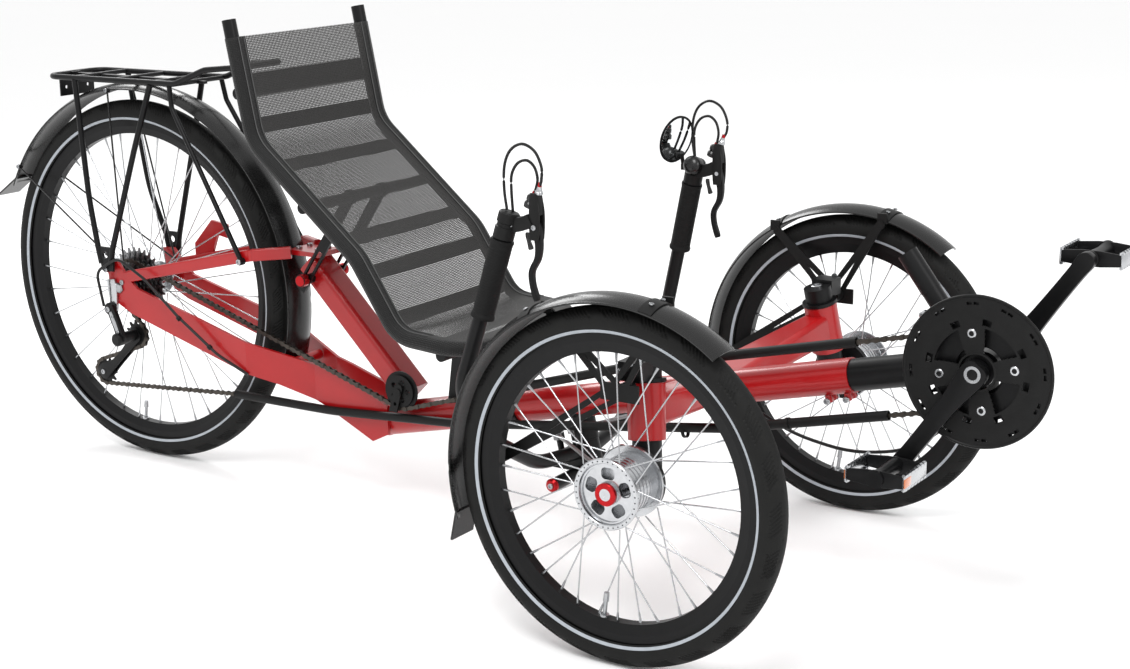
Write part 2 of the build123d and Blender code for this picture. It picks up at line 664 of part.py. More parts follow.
def chainrings():
    """Three toothed rings bolted to a four-armed spider."""
    ys = [CHAIN_Y - RING_GAP * place for place in range(3)]
    pieces = [
        sprocket(RING_TEETH[0], RING, ys[0], 2.0, 30),
        sprocket(RING_TEETH[1], RING, ys[1], 2.0, 34),
        sprocket(RING_TEETH[2], RING, ys[2], 2.2, 72),
    ]
    middle = (ys[1] + ys[2]) / 2
    for number in range(4):
        angle = radians(CRANK_ANGLE + 45 + 90 * number)
        tip = offset_point(RING, 80, angle)
        across = Vector(-sin(angle), cos(angle)) * 9
        outline = [
            (RING[0] + across.X, RING[1] + across.Y), (tip[0] + across.X, tip[1] + across.Y),
            (tip[0] - across.X, tip[1] - across.Y), (RING[0] - across.X, RING[1] - across.Y),
        ]
        pieces.append(slab(outline, middle, RING_GAP - 1.4))
        spacer = offset_point(RING, 38, angle)
        pieces.append(disc(spacer, 4, (ys[0] + ys[1]) / 2, RING_GAP))
        bolt = offset_point(RING, SPIDER_R, angle)
        pieces.append(disc(bolt, 5, (ys[1] + GUARD_Y) / 2, ys[1] - GUARD_Y))
    pieces.append(disc(RING, 22, middle, RING_GAP - 1.4))
    return fuse(pieces) - disc(RING, 12, middle, 30)


GUARD_Y = CHAIN_Y - 2 * RING_GAP - 4.5


def chainguard():
    """Windowed guard outside the large ring."""
    guard = disc(RING, GUARD_R, GUARD_Y, 3) - disc(RING, 24, GUARD_Y, 5)
    for number in range(4):
        angle = radians(CRANK_ANGLE + 90 * number)
        guard = guard - disc(offset_point(RING, 46, angle), 15, GUARD_Y, 5)
        bolt = offset_point(RING, SPIDER_R, angle + pi / 4)
        guard = guard - disc(bolt, 5, GUARD_Y, 5)
    return guard


def crank(side):
    """One crank arm; the right one carries the axle."""
    angle = radians(CRANK_ANGLE + (180 if side < 0 else 0))
    end = offset_point(RING, CRANK_LENGTH, angle)
    inner_y = -GUARD_Y + 3
    y = side * (inner_y + 7)
    across = Vector(-sin(angle), cos(angle))
    outline = [
        (RING[0] + across.X * 17, RING[1] + across.Y * 17), (end[0] + across.X * 12, end[1] + across.Y * 12),
        (end[0] - across.X * 12, end[1] - across.Y * 12), (RING[0] - across.X * 17, RING[1] - across.Y * 17),
    ]
    arm = fuse([slab(outline, y, 14), disc(RING, 19, y, 14), disc(end, 13, y, 14)])
    arm = arm - disc(end, 7, y, 20)
    if side < 0:
        axle = rod((BB_X, y, BB_Z), (BB_X, inner_y, BB_Z), 12)
        return fuse([arm, axle])
    boss = rod((BB_X, BB_SHELL_HALF + 2, BB_Z), (BB_X, y, BB_Z), 16)
    return fuse([arm, boss]) - rod((BB_X, 0, BB_Z), (BB_X, inner_y, BB_Z), 12)


def pedal(side):
    """Platform pedal: spindle in the crank, body, side plates and reflectors."""
    angle = radians(CRANK_ANGLE + (180 if side < 0 else 0))
    x, z = offset_point(RING, CRANK_LENGTH, angle)
    start = -GUARD_Y + 3
    spindle = rod((x, side * start, z), (x, side * (start + 90), z), 7 - FIT)
    body = rod((x, side * (start + 22), z), (x, side * (start + 100), z), 13)
    pieces = [spindle, body]
    for end in (-1, 1):
        pieces.append(brick((x + end * 40, side * (start + 62), z), (6, 74, 24)))
    for y in (start + 28, start + 94):
        pieces.append(brick((x, side * y, z), (80, 4, 20)))
    return fuse(pieces)


# ---------------------------------------------------------------- steering
def arm_end(side, up=0.0):
    """A point on the upright stud of a steering arm."""
    return (ARM_END[0], side * ARM_END[1], ARM_END[2] + up)


def knuckle(side):
    """Kingpin, stub axle, brake plate and steering arm."""
    pin = rod(kingpin(-78, side), kingpin(66, side), PIVOT_TUBE_BORE - FIT)
    foot = rod(kingpin(-PIVOT_TUBE_HALF - 46, side), kingpin(-PIVOT_TUBE_HALF - 1, side), 20)
    axle = rod((0, side * 286, FRONT_WHEEL_R), (0, side * (TRACK / 2 + 27), FRONT_WHEEL_R), AXLE_STUB_R)
    plate = rod((0, side * 318, FRONT_WHEEL_R), (0, side * 325.5, FRONT_WHEEL_R), 46)
    arm = rod(arm_end(side, -12), kingpin(-PIVOT_TUBE_HALF - 40, side), 7)
    eye = rod(arm_end(side, -16), arm_end(side, -5), 10)
    stud = rod(arm_end(side, -6), arm_end(side), STUD_R)
    stem = rod(kingpin(-PIVOT_TUBE_HALF - 36, side), (0, side * 320, FRONT_WHEEL_R), 15)
    return fuse([pin, foot, stem, axle, plate, arm, eye, stud])


def top_clamp(side):
    """Black clamp on the kingpin above the pivot tube."""
    block = rod(kingpin(PIVOT_TUBE_HALF + 1, side), kingpin(PIVOT_TUBE_HALF + 6, side), 27)
    head = rod(kingpin(PIVOT_TUBE_HALF + 6, side), kingpin(66, side), 21)
    ear = brick((kingpin(52, side)[0], side * (KINGPIN_Y + 18), kingpin(52, side)[2] + 9.5), (34, 34, 26))
    return fuse([block, head, ear]) - rod(kingpin(0, side), kingpin(66, side), PIVOT_TUBE_BORE - FIT)


ARM_PLANE_Y = TRACK / 2 - FENDER_WIDTH / 2 - 4.0
FENDER_START = 52.0
FENDER_END = 198.0


def fender_shell(radius, start, end, centre, swell=0.0):
    """A curved fender of constant section along an arc, open below."""
    half = FENDER_WIDTH / 2
    crown = 9.0
    outer = ThreePointArc((-half, radius - crown), (0, radius), (half, radius - crown))
    inner = ThreePointArc((half, radius - crown - FENDER_WALL), (0, radius - FENDER_WALL), (-half, radius - crown - FENDER_WALL))
    edges = [outer, Line(outer @ 1, inner @ 0), inner, Line(inner @ 1, outer @ 0)]
    face = Plane.YZ * make_face(edges)
    # the section starts straight up (90 degrees) and turns about Y towards the back
    shell = revolve(face, Axis.Y, revolution_arc=end - start)
    return Pos(*centre) * Rot(0, 90 - end, 0) * shell


def flap(radius, angle, length, centre):
    """Soft flap that stands off the lower end of a fender."""
    a = radians(angle)
    turn = radians(angle + 62)
    p = offset_point((centre[0], centre[2]), radius - 6, a)
    q = (p[0] + length * cos(turn), p[1] + length * sin(turn))
    nx, nz = -sin(turn) * 1.5, cos(turn) * 1.5
    outline = [(p[0] + nx, p[1] + nz), (q[0] + nx, q[1] + nz), (q[0] - nx, q[1] - nz), (p[0] - nx, p[1] - nz)]
    return slab(outline, centre[1], FENDER_WIDTH - 8)


def front_fender(side):
    centre = (0, side * TRACK / 2, FRONT_WHEEL_R)
    shell = fender_shell(FRONT_FENDER_R, FENDER_START, FENDER_END, centre)
    return fuse([shell, flap(FRONT_FENDER_R, FENDER_END - 2, 42, centre)])


def fender_bracket(side):
    """Three flat arms from the kingpin clamp to the fender, which turn with the wheel."""
    y = side * ARM_PLANE_Y
    root = (KINGPIN_X - 12, FRONT_WHEEL_R + 118)
    back, front, low, high = root[0] - 24, root[0] + 34, root[1] - 12, root[1] + 12
    pieces = [slab([(back, low), (front, low), (front, high), (back, high)], y, 3)]
    for angle in (77.0, 120.0, 186.0):
        hub = (0.0, FRONT_WHEEL_R)
        tip = offset_point(hub, FRONT_FENDER_R - 14, radians(angle))
        direction = Vector(tip[0] - root[0], tip[1] - root[1]).normalized()
        across = Vector(-direction.Y, direction.X)
        for offset in (-9, 9):
            base = (root[0] + across.X * offset, root[1] + across.Y * offset)
            outline = [
                (base[0] + across.X * 3.5, base[1] + across.Y * 3.5), (tip[0] + across.X * 6, tip[1] + across.Y * 6),
                (tip[0] - across.X * 6, tip[1] - across.Y * 6), (base[0] - across.X * 3.5, base[1] - across.Y * 3.5),
            ]
            pieces.append(slab(outline, y, 3))
        centre = (0, side * TRACK / 2, FRONT_WHEEL_R)
        if angle < 150:
            strap = fender_shell(FRONT_FENDER_R + FENDER_WALL, angle - 2.2, angle + 2.2, centre)
            pieces.append(strap)
        link_low = offset_point(hub, FRONT_FENDER_R - 17, radians(angle))
        pieces.append(disc(link_low, 7, y, 3))
        pieces.append(rod((tip[0], y, tip[1]), (tip[0], y + side * 4.2, tip[1]), 5))
        edge = offset_point(hub, FRONT_FENDER_R - 6.5, radians(angle))
        if angle < 150:
            pieces.append(brick((edge[0], side * (TRACK / 2 - FENDER_WIDTH / 2 - 1.6), edge[1]), (16, 4.4, 16)))
    stub = rod((root[0] + 8, side * (KINGPIN_Y + 35.2), root[1] + 2), (root[0] + 8, y, root[1] + 2), 10)
    return fuse(pieces + [stub]) - front_fender(side)


def lever_end(side, up=0.0):
    """A point on the upright stud that a tie rod turns on."""
    point = Vector(LEVER_END[0], side * LEVER_END[1], LEVER_END[2]) + BEAM_UP * up
    return (point.X, point.Y, point.Z)


def handlebar():
    """Bent bar under the beam, its pivot block, cross tube, grips and tie-rod studs."""
    middle = along(BAR_BACK, -MOUNT_DEPTH - 17)
    half = [
        (middle[0], 0, middle[2]), (BAR_X - 2, 115, 160), (BAR_X - 4, 230, 226), (BAR_X - 13, 289, 312), (-242, 265, 531),
    ]
    points = [(x, -y, z) for x, y, z in half[:0:-1]] + half
    bar = bent(points, [60.0, 90.0, 100.0, 100.0, 100.0, 90.0, 60.0], BAR_R, BAR_R - BAR_WALL)
    block = rod(along(BAR_BACK, -MOUNT_DEPTH - 34), along(BAR_BACK, -MOUNT_DEPTH - 0.5), 18)
    pin = rod(along(BAR_BACK, -MOUNT_DEPTH - 5), along(BAR_BACK, -MAIN_TUBE_R - 5), BAR_PIVOT_R - FIT)
    cross = rod((-275, -100, 124), (-275, 100, 124), 10)
    web = brick((-291, 0, 137), (58, 60, 22))
    pieces = [bar, block, pin, cross, web]
    for side in SIDES.values():
        low = Vector(-271.2, side * 276.5, 420)
        top = Vector(-242, side * 265, 531)
        pieces.append(rod(tuple(low), tuple(top), GRIP_R))
        pieces.append(rod(lever_end(side, -4), lever_end(side, ROD_LIFT + 6), STUD_R))
    return fuse(pieces)


def tie_rod(side):
    """Thin rod from the stud under the handlebar to the steering arm."""
    low = lever_end(side, ROD_LIFT)
    high = arm_end(side, ROD_CLEAR)
    shaft = rod(low, high, 3)
    near = rod(lever_end(side, ROD_LIFT - 5), lever_end(side, ROD_LIFT + 5), 9)
    far = rod(arm_end(side, ROD_CLEAR - 3.2), arm_end(side, ROD_CLEAR + 4), 8)
    stud_hole = rod(lever_end(side, ROD_LIFT - 20), lever_end(side, ROD_LIFT + 20), STUD_R + FIT)
    return fuse([shaft, near, far]) - stud_hole


CABLE_R = 2.5
PERCH_TOP = 599.0
GRIP_TOP = Vector(-242, 265, 531)
GRIP_LINE = (Vector(-242, 265, 531) - Vector(-271.2, 276.5, 420)).normalized()


def control(side):
    """Clamp, lever perch and shifter body on top of a grip."""
    top = Vector(GRIP_TOP.X, side * GRIP_TOP.Y, GRIP_TOP.Z)
    line = Vector(GRIP_LINE.X, side * GRIP_LINE.Y, GRIP_LINE.Z)
    clamp = rod(tuple(top + line * 0.6), tuple(top + line * 40), 15)
    bridge = brick((-214, side * 260, 553), (40, 18, 20))
    perch = brick((-190, side * 258, PERCH_TOP - 33), (16, 17, 66))
    shifter = rod((-232, side * 257, 560), (-232, side * 238, 566), 15)
    pieces = [clamp, bridge, perch]
    if side > 0:
        pieces.append(shifter)
    slot = brick((-190, side * 258, 544), (18, 9, 44))
    return fuse(pieces) - slot


LEVER_PIVOT = (-190.0, 552.0)
SHIFT_PIVOT = (-208.0, 539.5)


def brake_lever(side):
    """Curved blade that hangs in front of the grip from its pin."""
    x, z = LEVER_PIVOT
    y = side * 258
    path = [(x, y, z), (x + 3, y, z - 34), (x - 10, y, z - 62), (x - 2, y, z - 100)]
    blade = bent(path, [16.0, 24.0], 4.2)
    return fuse([blade, rod((x, y - 4.3, z), (x, y + 4.3, z), 6)])


def shift_lever(side):
    """Small thumb lever under the control."""
    x, z = SHIFT_PIVOT
    blade = slab([(x - 2, z), (x + 2, z), (x + 9, z - 19), (x + 1, z - 21)], side * 254, 4)
    return fuse([blade, disc(SHIFT_PIVOT, 3, side * 254, 4)])


MIRROR_FOOT = (-256.8, 262.0, 552.0)


def mirror():
    """Round mirror on a short stalk beside the left control."""
    face = rod((-262, 236, 606), (-252, 234, 604), 38)
    foot = rod((MIRROR_FOOT[0], MIRROR_FOOT[1], MIRROR_FOOT[2]), (MIRROR_FOOT[0], MIRROR_FOOT[1], MIRROR_FOOT[2] + 9), 4)
    stalk = rod((MIRROR_FOOT[0], MIRROR_FOOT[1], MIRROR_FOOT[2] + 6), (-258, 242, 596), 4)
    return fuse([face, foot, stalk])


def cable_loop(side, start, lift, inward, front, end_x):
    """One housing that rises out of a control, loops over and drops into the lever perch."""
    y = side * (262 - inward)
    points = [
        start, (-240, y, 615 + lift), (-228, y, 652 + lift), (-203, y, 664 + lift),
        (front - 2, y, 648 + lift), (front + 2, y, 624 + lift / 2), (end_x, side * 258, PERCH_TOP + 1.2),
    ]
    return bent(points, 14.0, CABLE_R)


def bar_cables():
    """Brake and shift cable loops over the tops of the bars."""
    loops = [
        cable_loop(-1, (-236, -262, 572.4), 0.0, 0.0, -178.0, -185.0),
        cable_loop(1, (-236, 262, 575.6), 0.0, 0.0, -178.0, -185.0),
        cable_loop(1, (-229, 255, 578.6), -22.0, 7.0, -190.0, -194.0),
    ]
    return Compound(children=[part_of(loop) for loop in loops])


def frame_cables():
    """Shift cable housings clipped along the frame."""
    rear = bent([(-1220.6, -84, 286), (-1226, -91, 348), (-1172, -91, 378), (-1110, -90, 346), (-1040, -89, 290),
                 (-960, -82, 232), (-900, -75, 204)], [24.0, 30.0, 60.0, 120.0, 120.0], CABLE_R)
    front = bent([(-60, 20, 261.5), (-10, 24, 256), (60, 30, 222), (150, 30, 208), (240, 30, 226), (315, 30, 290),
                  (353.5, 30, 358.3)], [120.0, 200.0, 220.0, 150.0, 190.0], CABLE_R)
    return Compound(children=[part_of(rear), part_of(front)])


# ---------------------------------------------------------------- seat
def seat_path(side):
    """One side of the seat tube, from its top to the corner at the front."""
    return [(x, side * SEAT_HALF, z) for x, z in SEAT_CURVE]


def seat_line():
    """The side curve of the seat as a planar line, in XZ."""
    return FilletPolyline(*[(x, z) for x, z in SEAT_CURVE], radius=list(SEAT_BENDS))


BAR_DROP = 14.0
CROSS_BARS = (0.16, 0.455, 0.93)
STRUT_BAR = 1               # the cross bar that carries the recline struts
CROSS_BAR_R = 9.0


def behind_seat(place, depth):
    """A point behind the seat curve, at a share of its length."""
    line = seat_line()
    at = line @ place
    direction = line % place
    return (at.X + direction.Y * depth, at.Y - direction.X * depth)


def seat_frame():
    """One bent tube down both sides and round the front, with cross bars behind the mesh."""
    right = seat_path(-1)
    left = seat_path(1)[::-1]
    radii = list(SEAT_BENDS) + [SEAT_CORNER, SEAT_CORNER] + list(SEAT_BENDS)[::-1]
    pieces = [bent(right + left, radii, SEAT_TUBE_R, SEAT_TUBE_R - SEAT_TUBE_WALL)]
    for place in CROSS_BARS:
        x, z = behind_seat(place, BAR_DROP)
        pieces.append(rod((x, -SEAT_HALF, z), (x, SEAT_HALF, z), CROSS_BAR_R))
    pivot_x, pivot_z = SEAT_PIVOT
    pieces.append(rod((pivot_x, -34, pivot_z), (pivot_x, 34, pivot_z), 7))
    bar_x, bar_z = behind_seat(CROSS_BARS[-1], BAR_DROP)
    for y in (-31, 31):
        outline = [(pivot_x - 9, pivot_z - 9), (pivot_x + 9, pivot_z - 9), (bar_x + 9, bar_z), (bar_x - 9, bar_z)]
        pieces.append(slab(outline, y, 4))
    return fuse(pieces)


def seat_mesh():
    """Closed solid of the stretched mesh, between the two side tubes."""
    line = seat_line()
    places = [0.03 + 0.945 * step / 24 for step in range(25)]
    front = []
    back = []
    for place in places:
        at = line @ place
        direction = line % place
        front.append((at.X - direction.Y * MESH_THICKNESS / 2, at.Y + direction.X * MESH_THICKNESS / 2))
        back.append((at.X + direction.Y * MESH_THICKNESS / 2, at.Y - direction.X * MESH_THICKNESS / 2))
    width = 2 * (SEAT_HALF - SEAT_TUBE_R - CLEAR)
    sheet = slab(front + back[::-1], 0, width)
    nose_x = SEAT_CURVE[-1][0]
    for side in SIDES.values():
        corner = brick((nose_x - SEAT_CORNER / 2, side * (SEAT_HALF - SEAT_CORNER / 2), 326), (SEAT_CORNER, SEAT_CORNER, 20))
        round_part = rod((nose_x - SEAT_CORNER, side * (SEAT_HALF - SEAT_CORNER), 310),
                         (nose_x - SEAT_CORNER, side * (SEAT_HALF - SEAT_CORNER), 342), SEAT_CORNER - SEAT_TUBE_R - CLEAR)
        sheet = sheet - (corner - round_part)
    return sheet - brick((nose_x, 0, 326), (2 * (SEAT_TUBE_R + CLEAR), 400, 30))


KNOB = (-792.0, 372.0)


def recline_struts():
    """Slotted bars from the seat's cross bar past the clamp knobs on the seat tube."""
    bar_x, bar_z = behind_seat(CROSS_BARS[STRUT_BAR], BAR_DROP)
    line = (Vector(KNOB[0] - bar_x, KNOB[1] - bar_z)).normalized()
    tail = (KNOB[0] + line.X * 22, KNOB[1] + line.Y * 22)
    across = Vector(-line.Y, line.X)
    pieces = []
    for side in SIDES.values():
        y = side * STRUT_Y
        outline = [
            (bar_x + across.X * 9, bar_z + across.Y * 9), (tail[0] + across.X * 9, tail[1] + across.Y * 9),
            (tail[0] - across.X * 9, tail[1] - across.Y * 9), (bar_x - across.X * 9, bar_z - across.Y * 9),
        ]
        bar = fuse([slab(outline, y, 5), disc((bar_x, bar_z), CROSS_BAR_R + 2.9, y, 8)])
        slot_start = (KNOB[0] + line.X * 14, KNOB[1] + line.Y * 14)
        slot_end = (KNOB[0] - line.X * 60, KNOB[1] - line.Y * 60)
        slot = [
            (slot_start[0] + across.X * 5, slot_start[1] + across.Y * 5), (slot_end[0] + across.X * 5, slot_end[1] + across.Y * 5),
            (slot_end[0] - across.X * 5, slot_end[1] - across.Y * 5), (slot_start[0] - across.X * 5, slot_start[1] - across.Y * 5),
        ]
        bar = bar - slab(slot, y, 9) - disc((bar_x, bar_z), CROSS_BAR_R + FIT, y, 12)
        pieces.append(part_of(bar))
    return Compound(children=pieces)


def seat_mounts():
    """Ears on the beam for the seat's lower pivot, and the clamp knobs of the struts."""
    x, z = SEAT_PIVOT
    pieces = []
    for y in (-17, 17):
        outline = [(x - 11, z + 10), (x + 11, z + 10), (x + 26, 190), (x - 30, 170)]
        ear = slab(outline, y, 5) - disc((x, z), 7 + FIT, y, 8)
        ear = ear - rod(along(MAIN_TUBE_END + 5), along(REAR_BEAM_END), REAR_BEAM_R)
        pieces.append(part_of(ear))
    for side in SIDES.values():
        inner = side * SEAT_POST_WIDE / 2
        bolt = rod((KNOB[0], inner, KNOB[1]), (KNOB[0], side * (STRUT_Y + 8), KNOB[1]), 3.5)
        knob = rod((KNOB[0], side * (STRUT_Y + 3.2), KNOB[1]), (KNOB[0], side * (STRUT_Y + 17), KNOB[1]), 10)
        collar = rod((KNOB[0], inner, KNOB[1]), (KNOB[0], side * (STRUT_Y - 3.2), KNOB[1]), 8)
        pieces.append(part_of(fuse([bolt, knob, collar])))
    return Compound(children=pieces)


# ---------------------------------------------------------------- rack and rear fender
RACK_Z = 680.0
RACK_HALF = 62.0
RACK_REAR = -1345.0
RACK_BEND = -1040.0
RACK_FRONT = (-915.0, 712.0)
RACK_LEG_Y = 78.0
LAMP_HOLES = 50.0
LAMP_HOLE_R = 3.25
LAMP_HOLE_Z = RACK_Z - 24.0


def rack_deck():
    """Outer rail loop, cross bars and the lamp plate."""
    corner = 26.0
    points = [
        (RACK_FRONT[0], -RACK_HALF + 8, RACK_FRONT[1]), (-975, -RACK_HALF + 4, 706), (RACK_BEND, -RACK_HALF, RACK_Z),
        (RACK_REAR, -RACK_HALF, RACK_Z - 2), (RACK_REAR, RACK_HALF, RACK_Z - 2),
        (RACK_BEND, RACK_HALF, RACK_Z), (-975, RACK_HALF - 4, 706), (RACK_FRONT[0], RACK_HALF - 8, RACK_FRONT[1]),
    ]
    rail = bent(points, [40.0, 40.0, corner, corner, 40.0, 40.0], 5)
    pieces = [rail]
    for x in (-1275, -1185, -1096, -1045):
        pieces.append(rod((x, -RACK_HALF, RACK_Z - 1), (x, RACK_HALF, RACK_Z - 1), 4))
    front_x = RACK_FRONT[0] + 2
    pieces.append(rod((front_x, -RACK_HALF + 8, RACK_FRONT[1]), (front_x, RACK_HALF - 8, RACK_FRONT[1]), 5))
    pieces.append(brick((-1180, 0, RACK_Z - 3), (300, 10, 5)))
    plate = brick((-1338, 0, RACK_Z - 21), (3, 78, 36))
    for y in (-LAMP_HOLES / 2, LAMP_HOLES / 2):
        plate = plate - rod((-1345, y, LAMP_HOLE_Z), (-1330, y, LAMP_HOLE_Z), LAMP_HOLE_R)
    pieces += [plate, brick((-1339, 0, RACK_Z - 6), (8, 20, 14))]
    return fuse(pieces)


LEG_LOW = (-1209.0, 352.0)


def rack_side(side):
    """Two legs that meet in a bolted plate, and the strut to the upper stay."""
    top_y = side * (RACK_HALF + 1)
    low_y = side * (RACK_LEG_Y + 4)
    pieces = []
    for top_x, knee_x, knee_z, low_x in ((-1275, -1250, 470, -1226), (-1096, -1135, 560, -1192)):
        path = [
            (top_x, top_y, RACK_Z - 4), (knee_x, (top_y + low_y) / 2, knee_z), (low_x, low_y, 388),
            (low_x + (LEG_LOW[0] - low_x) / 3, low_y, 362),
        ]
        pieces.append(bent(path, [300.0, 30.0], 5))
    plate = slab([(-1229, 392), (-1188, 392), (-1192, 350), (-1218, 350)], low_y, 4) - disc((-1209, 378), 6, low_y, 6)
    pieces.append(plate)
    strut_y = side * (DROPOUT_Y + 3 + 6 + 4.6)
    path = [(-1052, top_y, RACK_Z - 4), (-1046, side * 66, RACK_Z - 40), (-905, strut_y, 413), (-896, strut_y, 397)]
    strut = bent(path, [20.0, 14.0], 4.2)
    foot = rod((-897, side * (DROPOUT_Y + 9.3), 398), (-897, side * 85, 398), 6)
    washer = rod((-1209, side * 69 + side * 3.2, 352), (-1209, low_y, 352), 5)
    return [part_of(fuse(pieces + [washer])), part_of(fuse([strut, foot]))]


def rack():
    deck = rack_deck()
    sides = rack_side(-1) + rack_side(1)
    return Compound(children=[part_of(deck)] + [part_of(piece - deck) for piece in sides])


REAR_FENDER_START = -18.0
REAR_FENDER_END = 154.0


def rear_fender():
    """Long fender over the rear wheel, its flap and its two wire stays."""
    centre = (-WHEELBASE + 6, 0, REAR_WHEEL_R)
    shell = fender_shell(REAR_FENDER_R, REAR_FENDER_START, REAR_FENDER_END, centre)
    soft = flap(REAR_FENDER_R, REAR_FENDER_END - 2, 62, centre)
    wires = []
    for side in SIDES.values():
        for angle in (147.0, 98.0):
            at = offset_point((centre[0], centre[2]), REAR_FENDER_R - 12, radians(angle))
            start = (at[0], side * (FENDER_WIDTH / 2 + 1.4), at[1])
            wires.append(rod(start, (-1191 + (0 if angle > 120 else 4), side * (DROPOUT_Y - 4), 348), 1.6))
            inner, outer = side * (FENDER_WIDTH / 2 - 2), side * (FENDER_WIDTH / 2 + 5)
            wires.append(rod((at[0], inner, at[1] + 2), (at[0], outer, at[1] + 2), 4))
    return fuse([shell, soft] + wires)


# ---------------------------------------------------------------- writing
def write(name, shape):
    """Write one sub-part in the shared frame."""
    solids = [Pos(FRONT_AXLE_X, 0, 0) * solid for solid in shape.solids()]
    whole = solids[0] if len(solids) == 1 else Compound(children=solids)
    export_step(whole, "parts/" + name + ".step")


def main():
    os.makedirs("parts", exist_ok=True)
    write("main_tube", main_tube())
    write("cross_arms", cross_arms())
    write("steering_mount", steering_mount())
    write("rear_beam", rear_beam())
    write("seat_tube", seat_tube())
    write("lower_stays", lower_stays())
    write("upper_stays", upper_stays())
    write("rear_derailleur", rear_derailleur())
    write("rack", rack())
    write("rear_fender", rear_fender())
    write("chain_tubes", chain_tubes())
    write("idler_bracket", idler_bracket())
    write("chain_rear", chain_rear())
    write("frame_cables", frame_cables())
    write("seat_mounts", seat_mounts())
    write("seat_frame", seat_frame())
    write("seat_mesh", seat_mesh())
    write("recline_struts", recline_struts())
    write("boom", boom())
    write("front_derailleur", front_derailleur())
    write("chain_front", chain_front())
    write("chainrings", chainrings())
    write("chainguard", chainguard())
    rear_centre = (-WHEELBASE, 0, REAR_WHEEL_R)
    write("tyre_rear", tyre(REAR_WHEEL_R, rear_centre))
    write("rim_rear", rim(REAR_WHEEL_R, REAR_RIM_DEPTH, rear_centre))
    write("hub_rear", rear_hub())
    write("cassette", cassette())
    write("jockey_cage", jockey_cage())
    write("jockey_upper", jockey(GUIDE))
    write("jockey_lower", jockey(TENSION))
    write("idler_wheel", idler_wheel())
    write("handlebar", handlebar())
    write("mirror", mirror())
    write("bar_cables", bar_cables())
    for name, side in SIDES.items():
        front_wheel(name, side)
        write("crank_" + name, crank(side))
        write("pedal_" + name, pedal(side))
        write("knuckle_" + name, knuckle(side))
        write("top_clamp_" + name, top_clamp(side))
        write("fender_bracket_" + name, fender_bracket(side))
        write("fender_" + name, front_fender(side))
        write("tie_rod_" + name, tie_rod(side))
        write("control_" + name, control(side))
        write("brake_lever_" + name, brake_lever(side))
        write("shift_lever_" + name, shift_lever(side))


main()
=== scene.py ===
"""Looks of a recumbent tadpole tricycle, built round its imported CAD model.

Sizes are millimetres and places are counted from the middle of the front axle line, as the
tricycle's own drawing counts them; `at` turns them into the frame's metres.
"""
import json
from math import asin, atan2, cos, hypot, pi, radians, sin, sqrt, tan

import bmesh
import bpy
from mathutils import Matrix, Vector


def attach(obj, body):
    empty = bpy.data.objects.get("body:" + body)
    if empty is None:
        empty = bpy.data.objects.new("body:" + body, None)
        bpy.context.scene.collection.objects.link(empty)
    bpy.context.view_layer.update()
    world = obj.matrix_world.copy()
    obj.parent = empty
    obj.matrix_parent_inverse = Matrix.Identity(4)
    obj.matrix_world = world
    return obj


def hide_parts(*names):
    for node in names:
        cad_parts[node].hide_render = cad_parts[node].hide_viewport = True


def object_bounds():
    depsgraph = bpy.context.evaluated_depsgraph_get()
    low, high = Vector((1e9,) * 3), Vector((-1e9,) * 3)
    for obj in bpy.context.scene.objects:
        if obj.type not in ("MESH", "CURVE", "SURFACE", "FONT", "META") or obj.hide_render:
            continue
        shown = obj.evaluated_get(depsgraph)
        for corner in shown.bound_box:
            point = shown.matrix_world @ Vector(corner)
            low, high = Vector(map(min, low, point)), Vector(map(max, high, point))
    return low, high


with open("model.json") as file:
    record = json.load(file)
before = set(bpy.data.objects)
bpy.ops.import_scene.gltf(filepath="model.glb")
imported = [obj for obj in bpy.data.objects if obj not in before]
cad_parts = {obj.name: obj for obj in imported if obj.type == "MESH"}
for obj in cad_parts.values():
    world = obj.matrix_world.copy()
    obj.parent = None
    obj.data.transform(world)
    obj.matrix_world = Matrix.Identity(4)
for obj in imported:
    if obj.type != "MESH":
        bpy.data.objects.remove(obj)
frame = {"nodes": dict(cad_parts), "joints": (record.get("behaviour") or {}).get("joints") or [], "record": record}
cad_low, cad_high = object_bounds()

MM = 0.001
SIDES = {"right": -1, "left": 1}
JOINTS = {joint["name"]: joint for joint in frame["joints"]}
ACROSS = Vector((0, 1, 0))


# ---------------------------------------------------------------- places
def pivot(name):
    """Where a joint sits in the frame."""
    return Vector(JOINTS[name]["pos_m"])


AXLE_X = pivot("front_wheel_spin_right").x
CRANK_AXIS = pivot("crank_spin")
BEAM = Vector(JOINTS["boom_slide"]["axis"])
BEAM_UP = Vector((-BEAM.z, 0, BEAM.x))


def at(x, y, z):
    """A point counted in millimetres from the middle of the front axle line."""
    return Vector((AXLE_X + x * MM, y * MM, z * MM))


def local(point):
    """The (x, z) of a frame point, in millimetres from the front axle line."""
    return (point.x - AXLE_X) / MM, point.z / MM


def along(back, up=0.0, y=0.0):
    """A point a distance back along the beam from the crank axis."""
    return CRANK_AXIS - BEAM * back * MM + BEAM_UP * up * MM + ACROSS * y * MM


def ring_point(centre, r, angle):
    """A point (x, z) on a circle round a centre (x, z)."""
    return centre[0] + r * cos(angle), centre[1] + r * sin(angle)


# ---------------------------------------------------------------- materials
def linear(code):
    """A linear colour from an sRGB hex code."""
    parts = [int(code[i:i + 2], 16) / 255 for i in (1, 3, 5)]
    return [p / 12.92 if p <= 0.04045 else ((p + 0.055) / 1.055) ** 2.4 for p in parts] + [1.0]


def add(tree, kind, inputs, **settings):
    """A node with its settings, its input values and its links."""
    node = tree.nodes.new(kind)
    for name, value in settings.items():
        setattr(node, name, value)
    for name, value in inputs.items():
        if isinstance(value, bpy.types.NodeSocket):
            tree.links.new(value, node.inputs[name])
        else:
            node.inputs[name].default_value = value
    return node


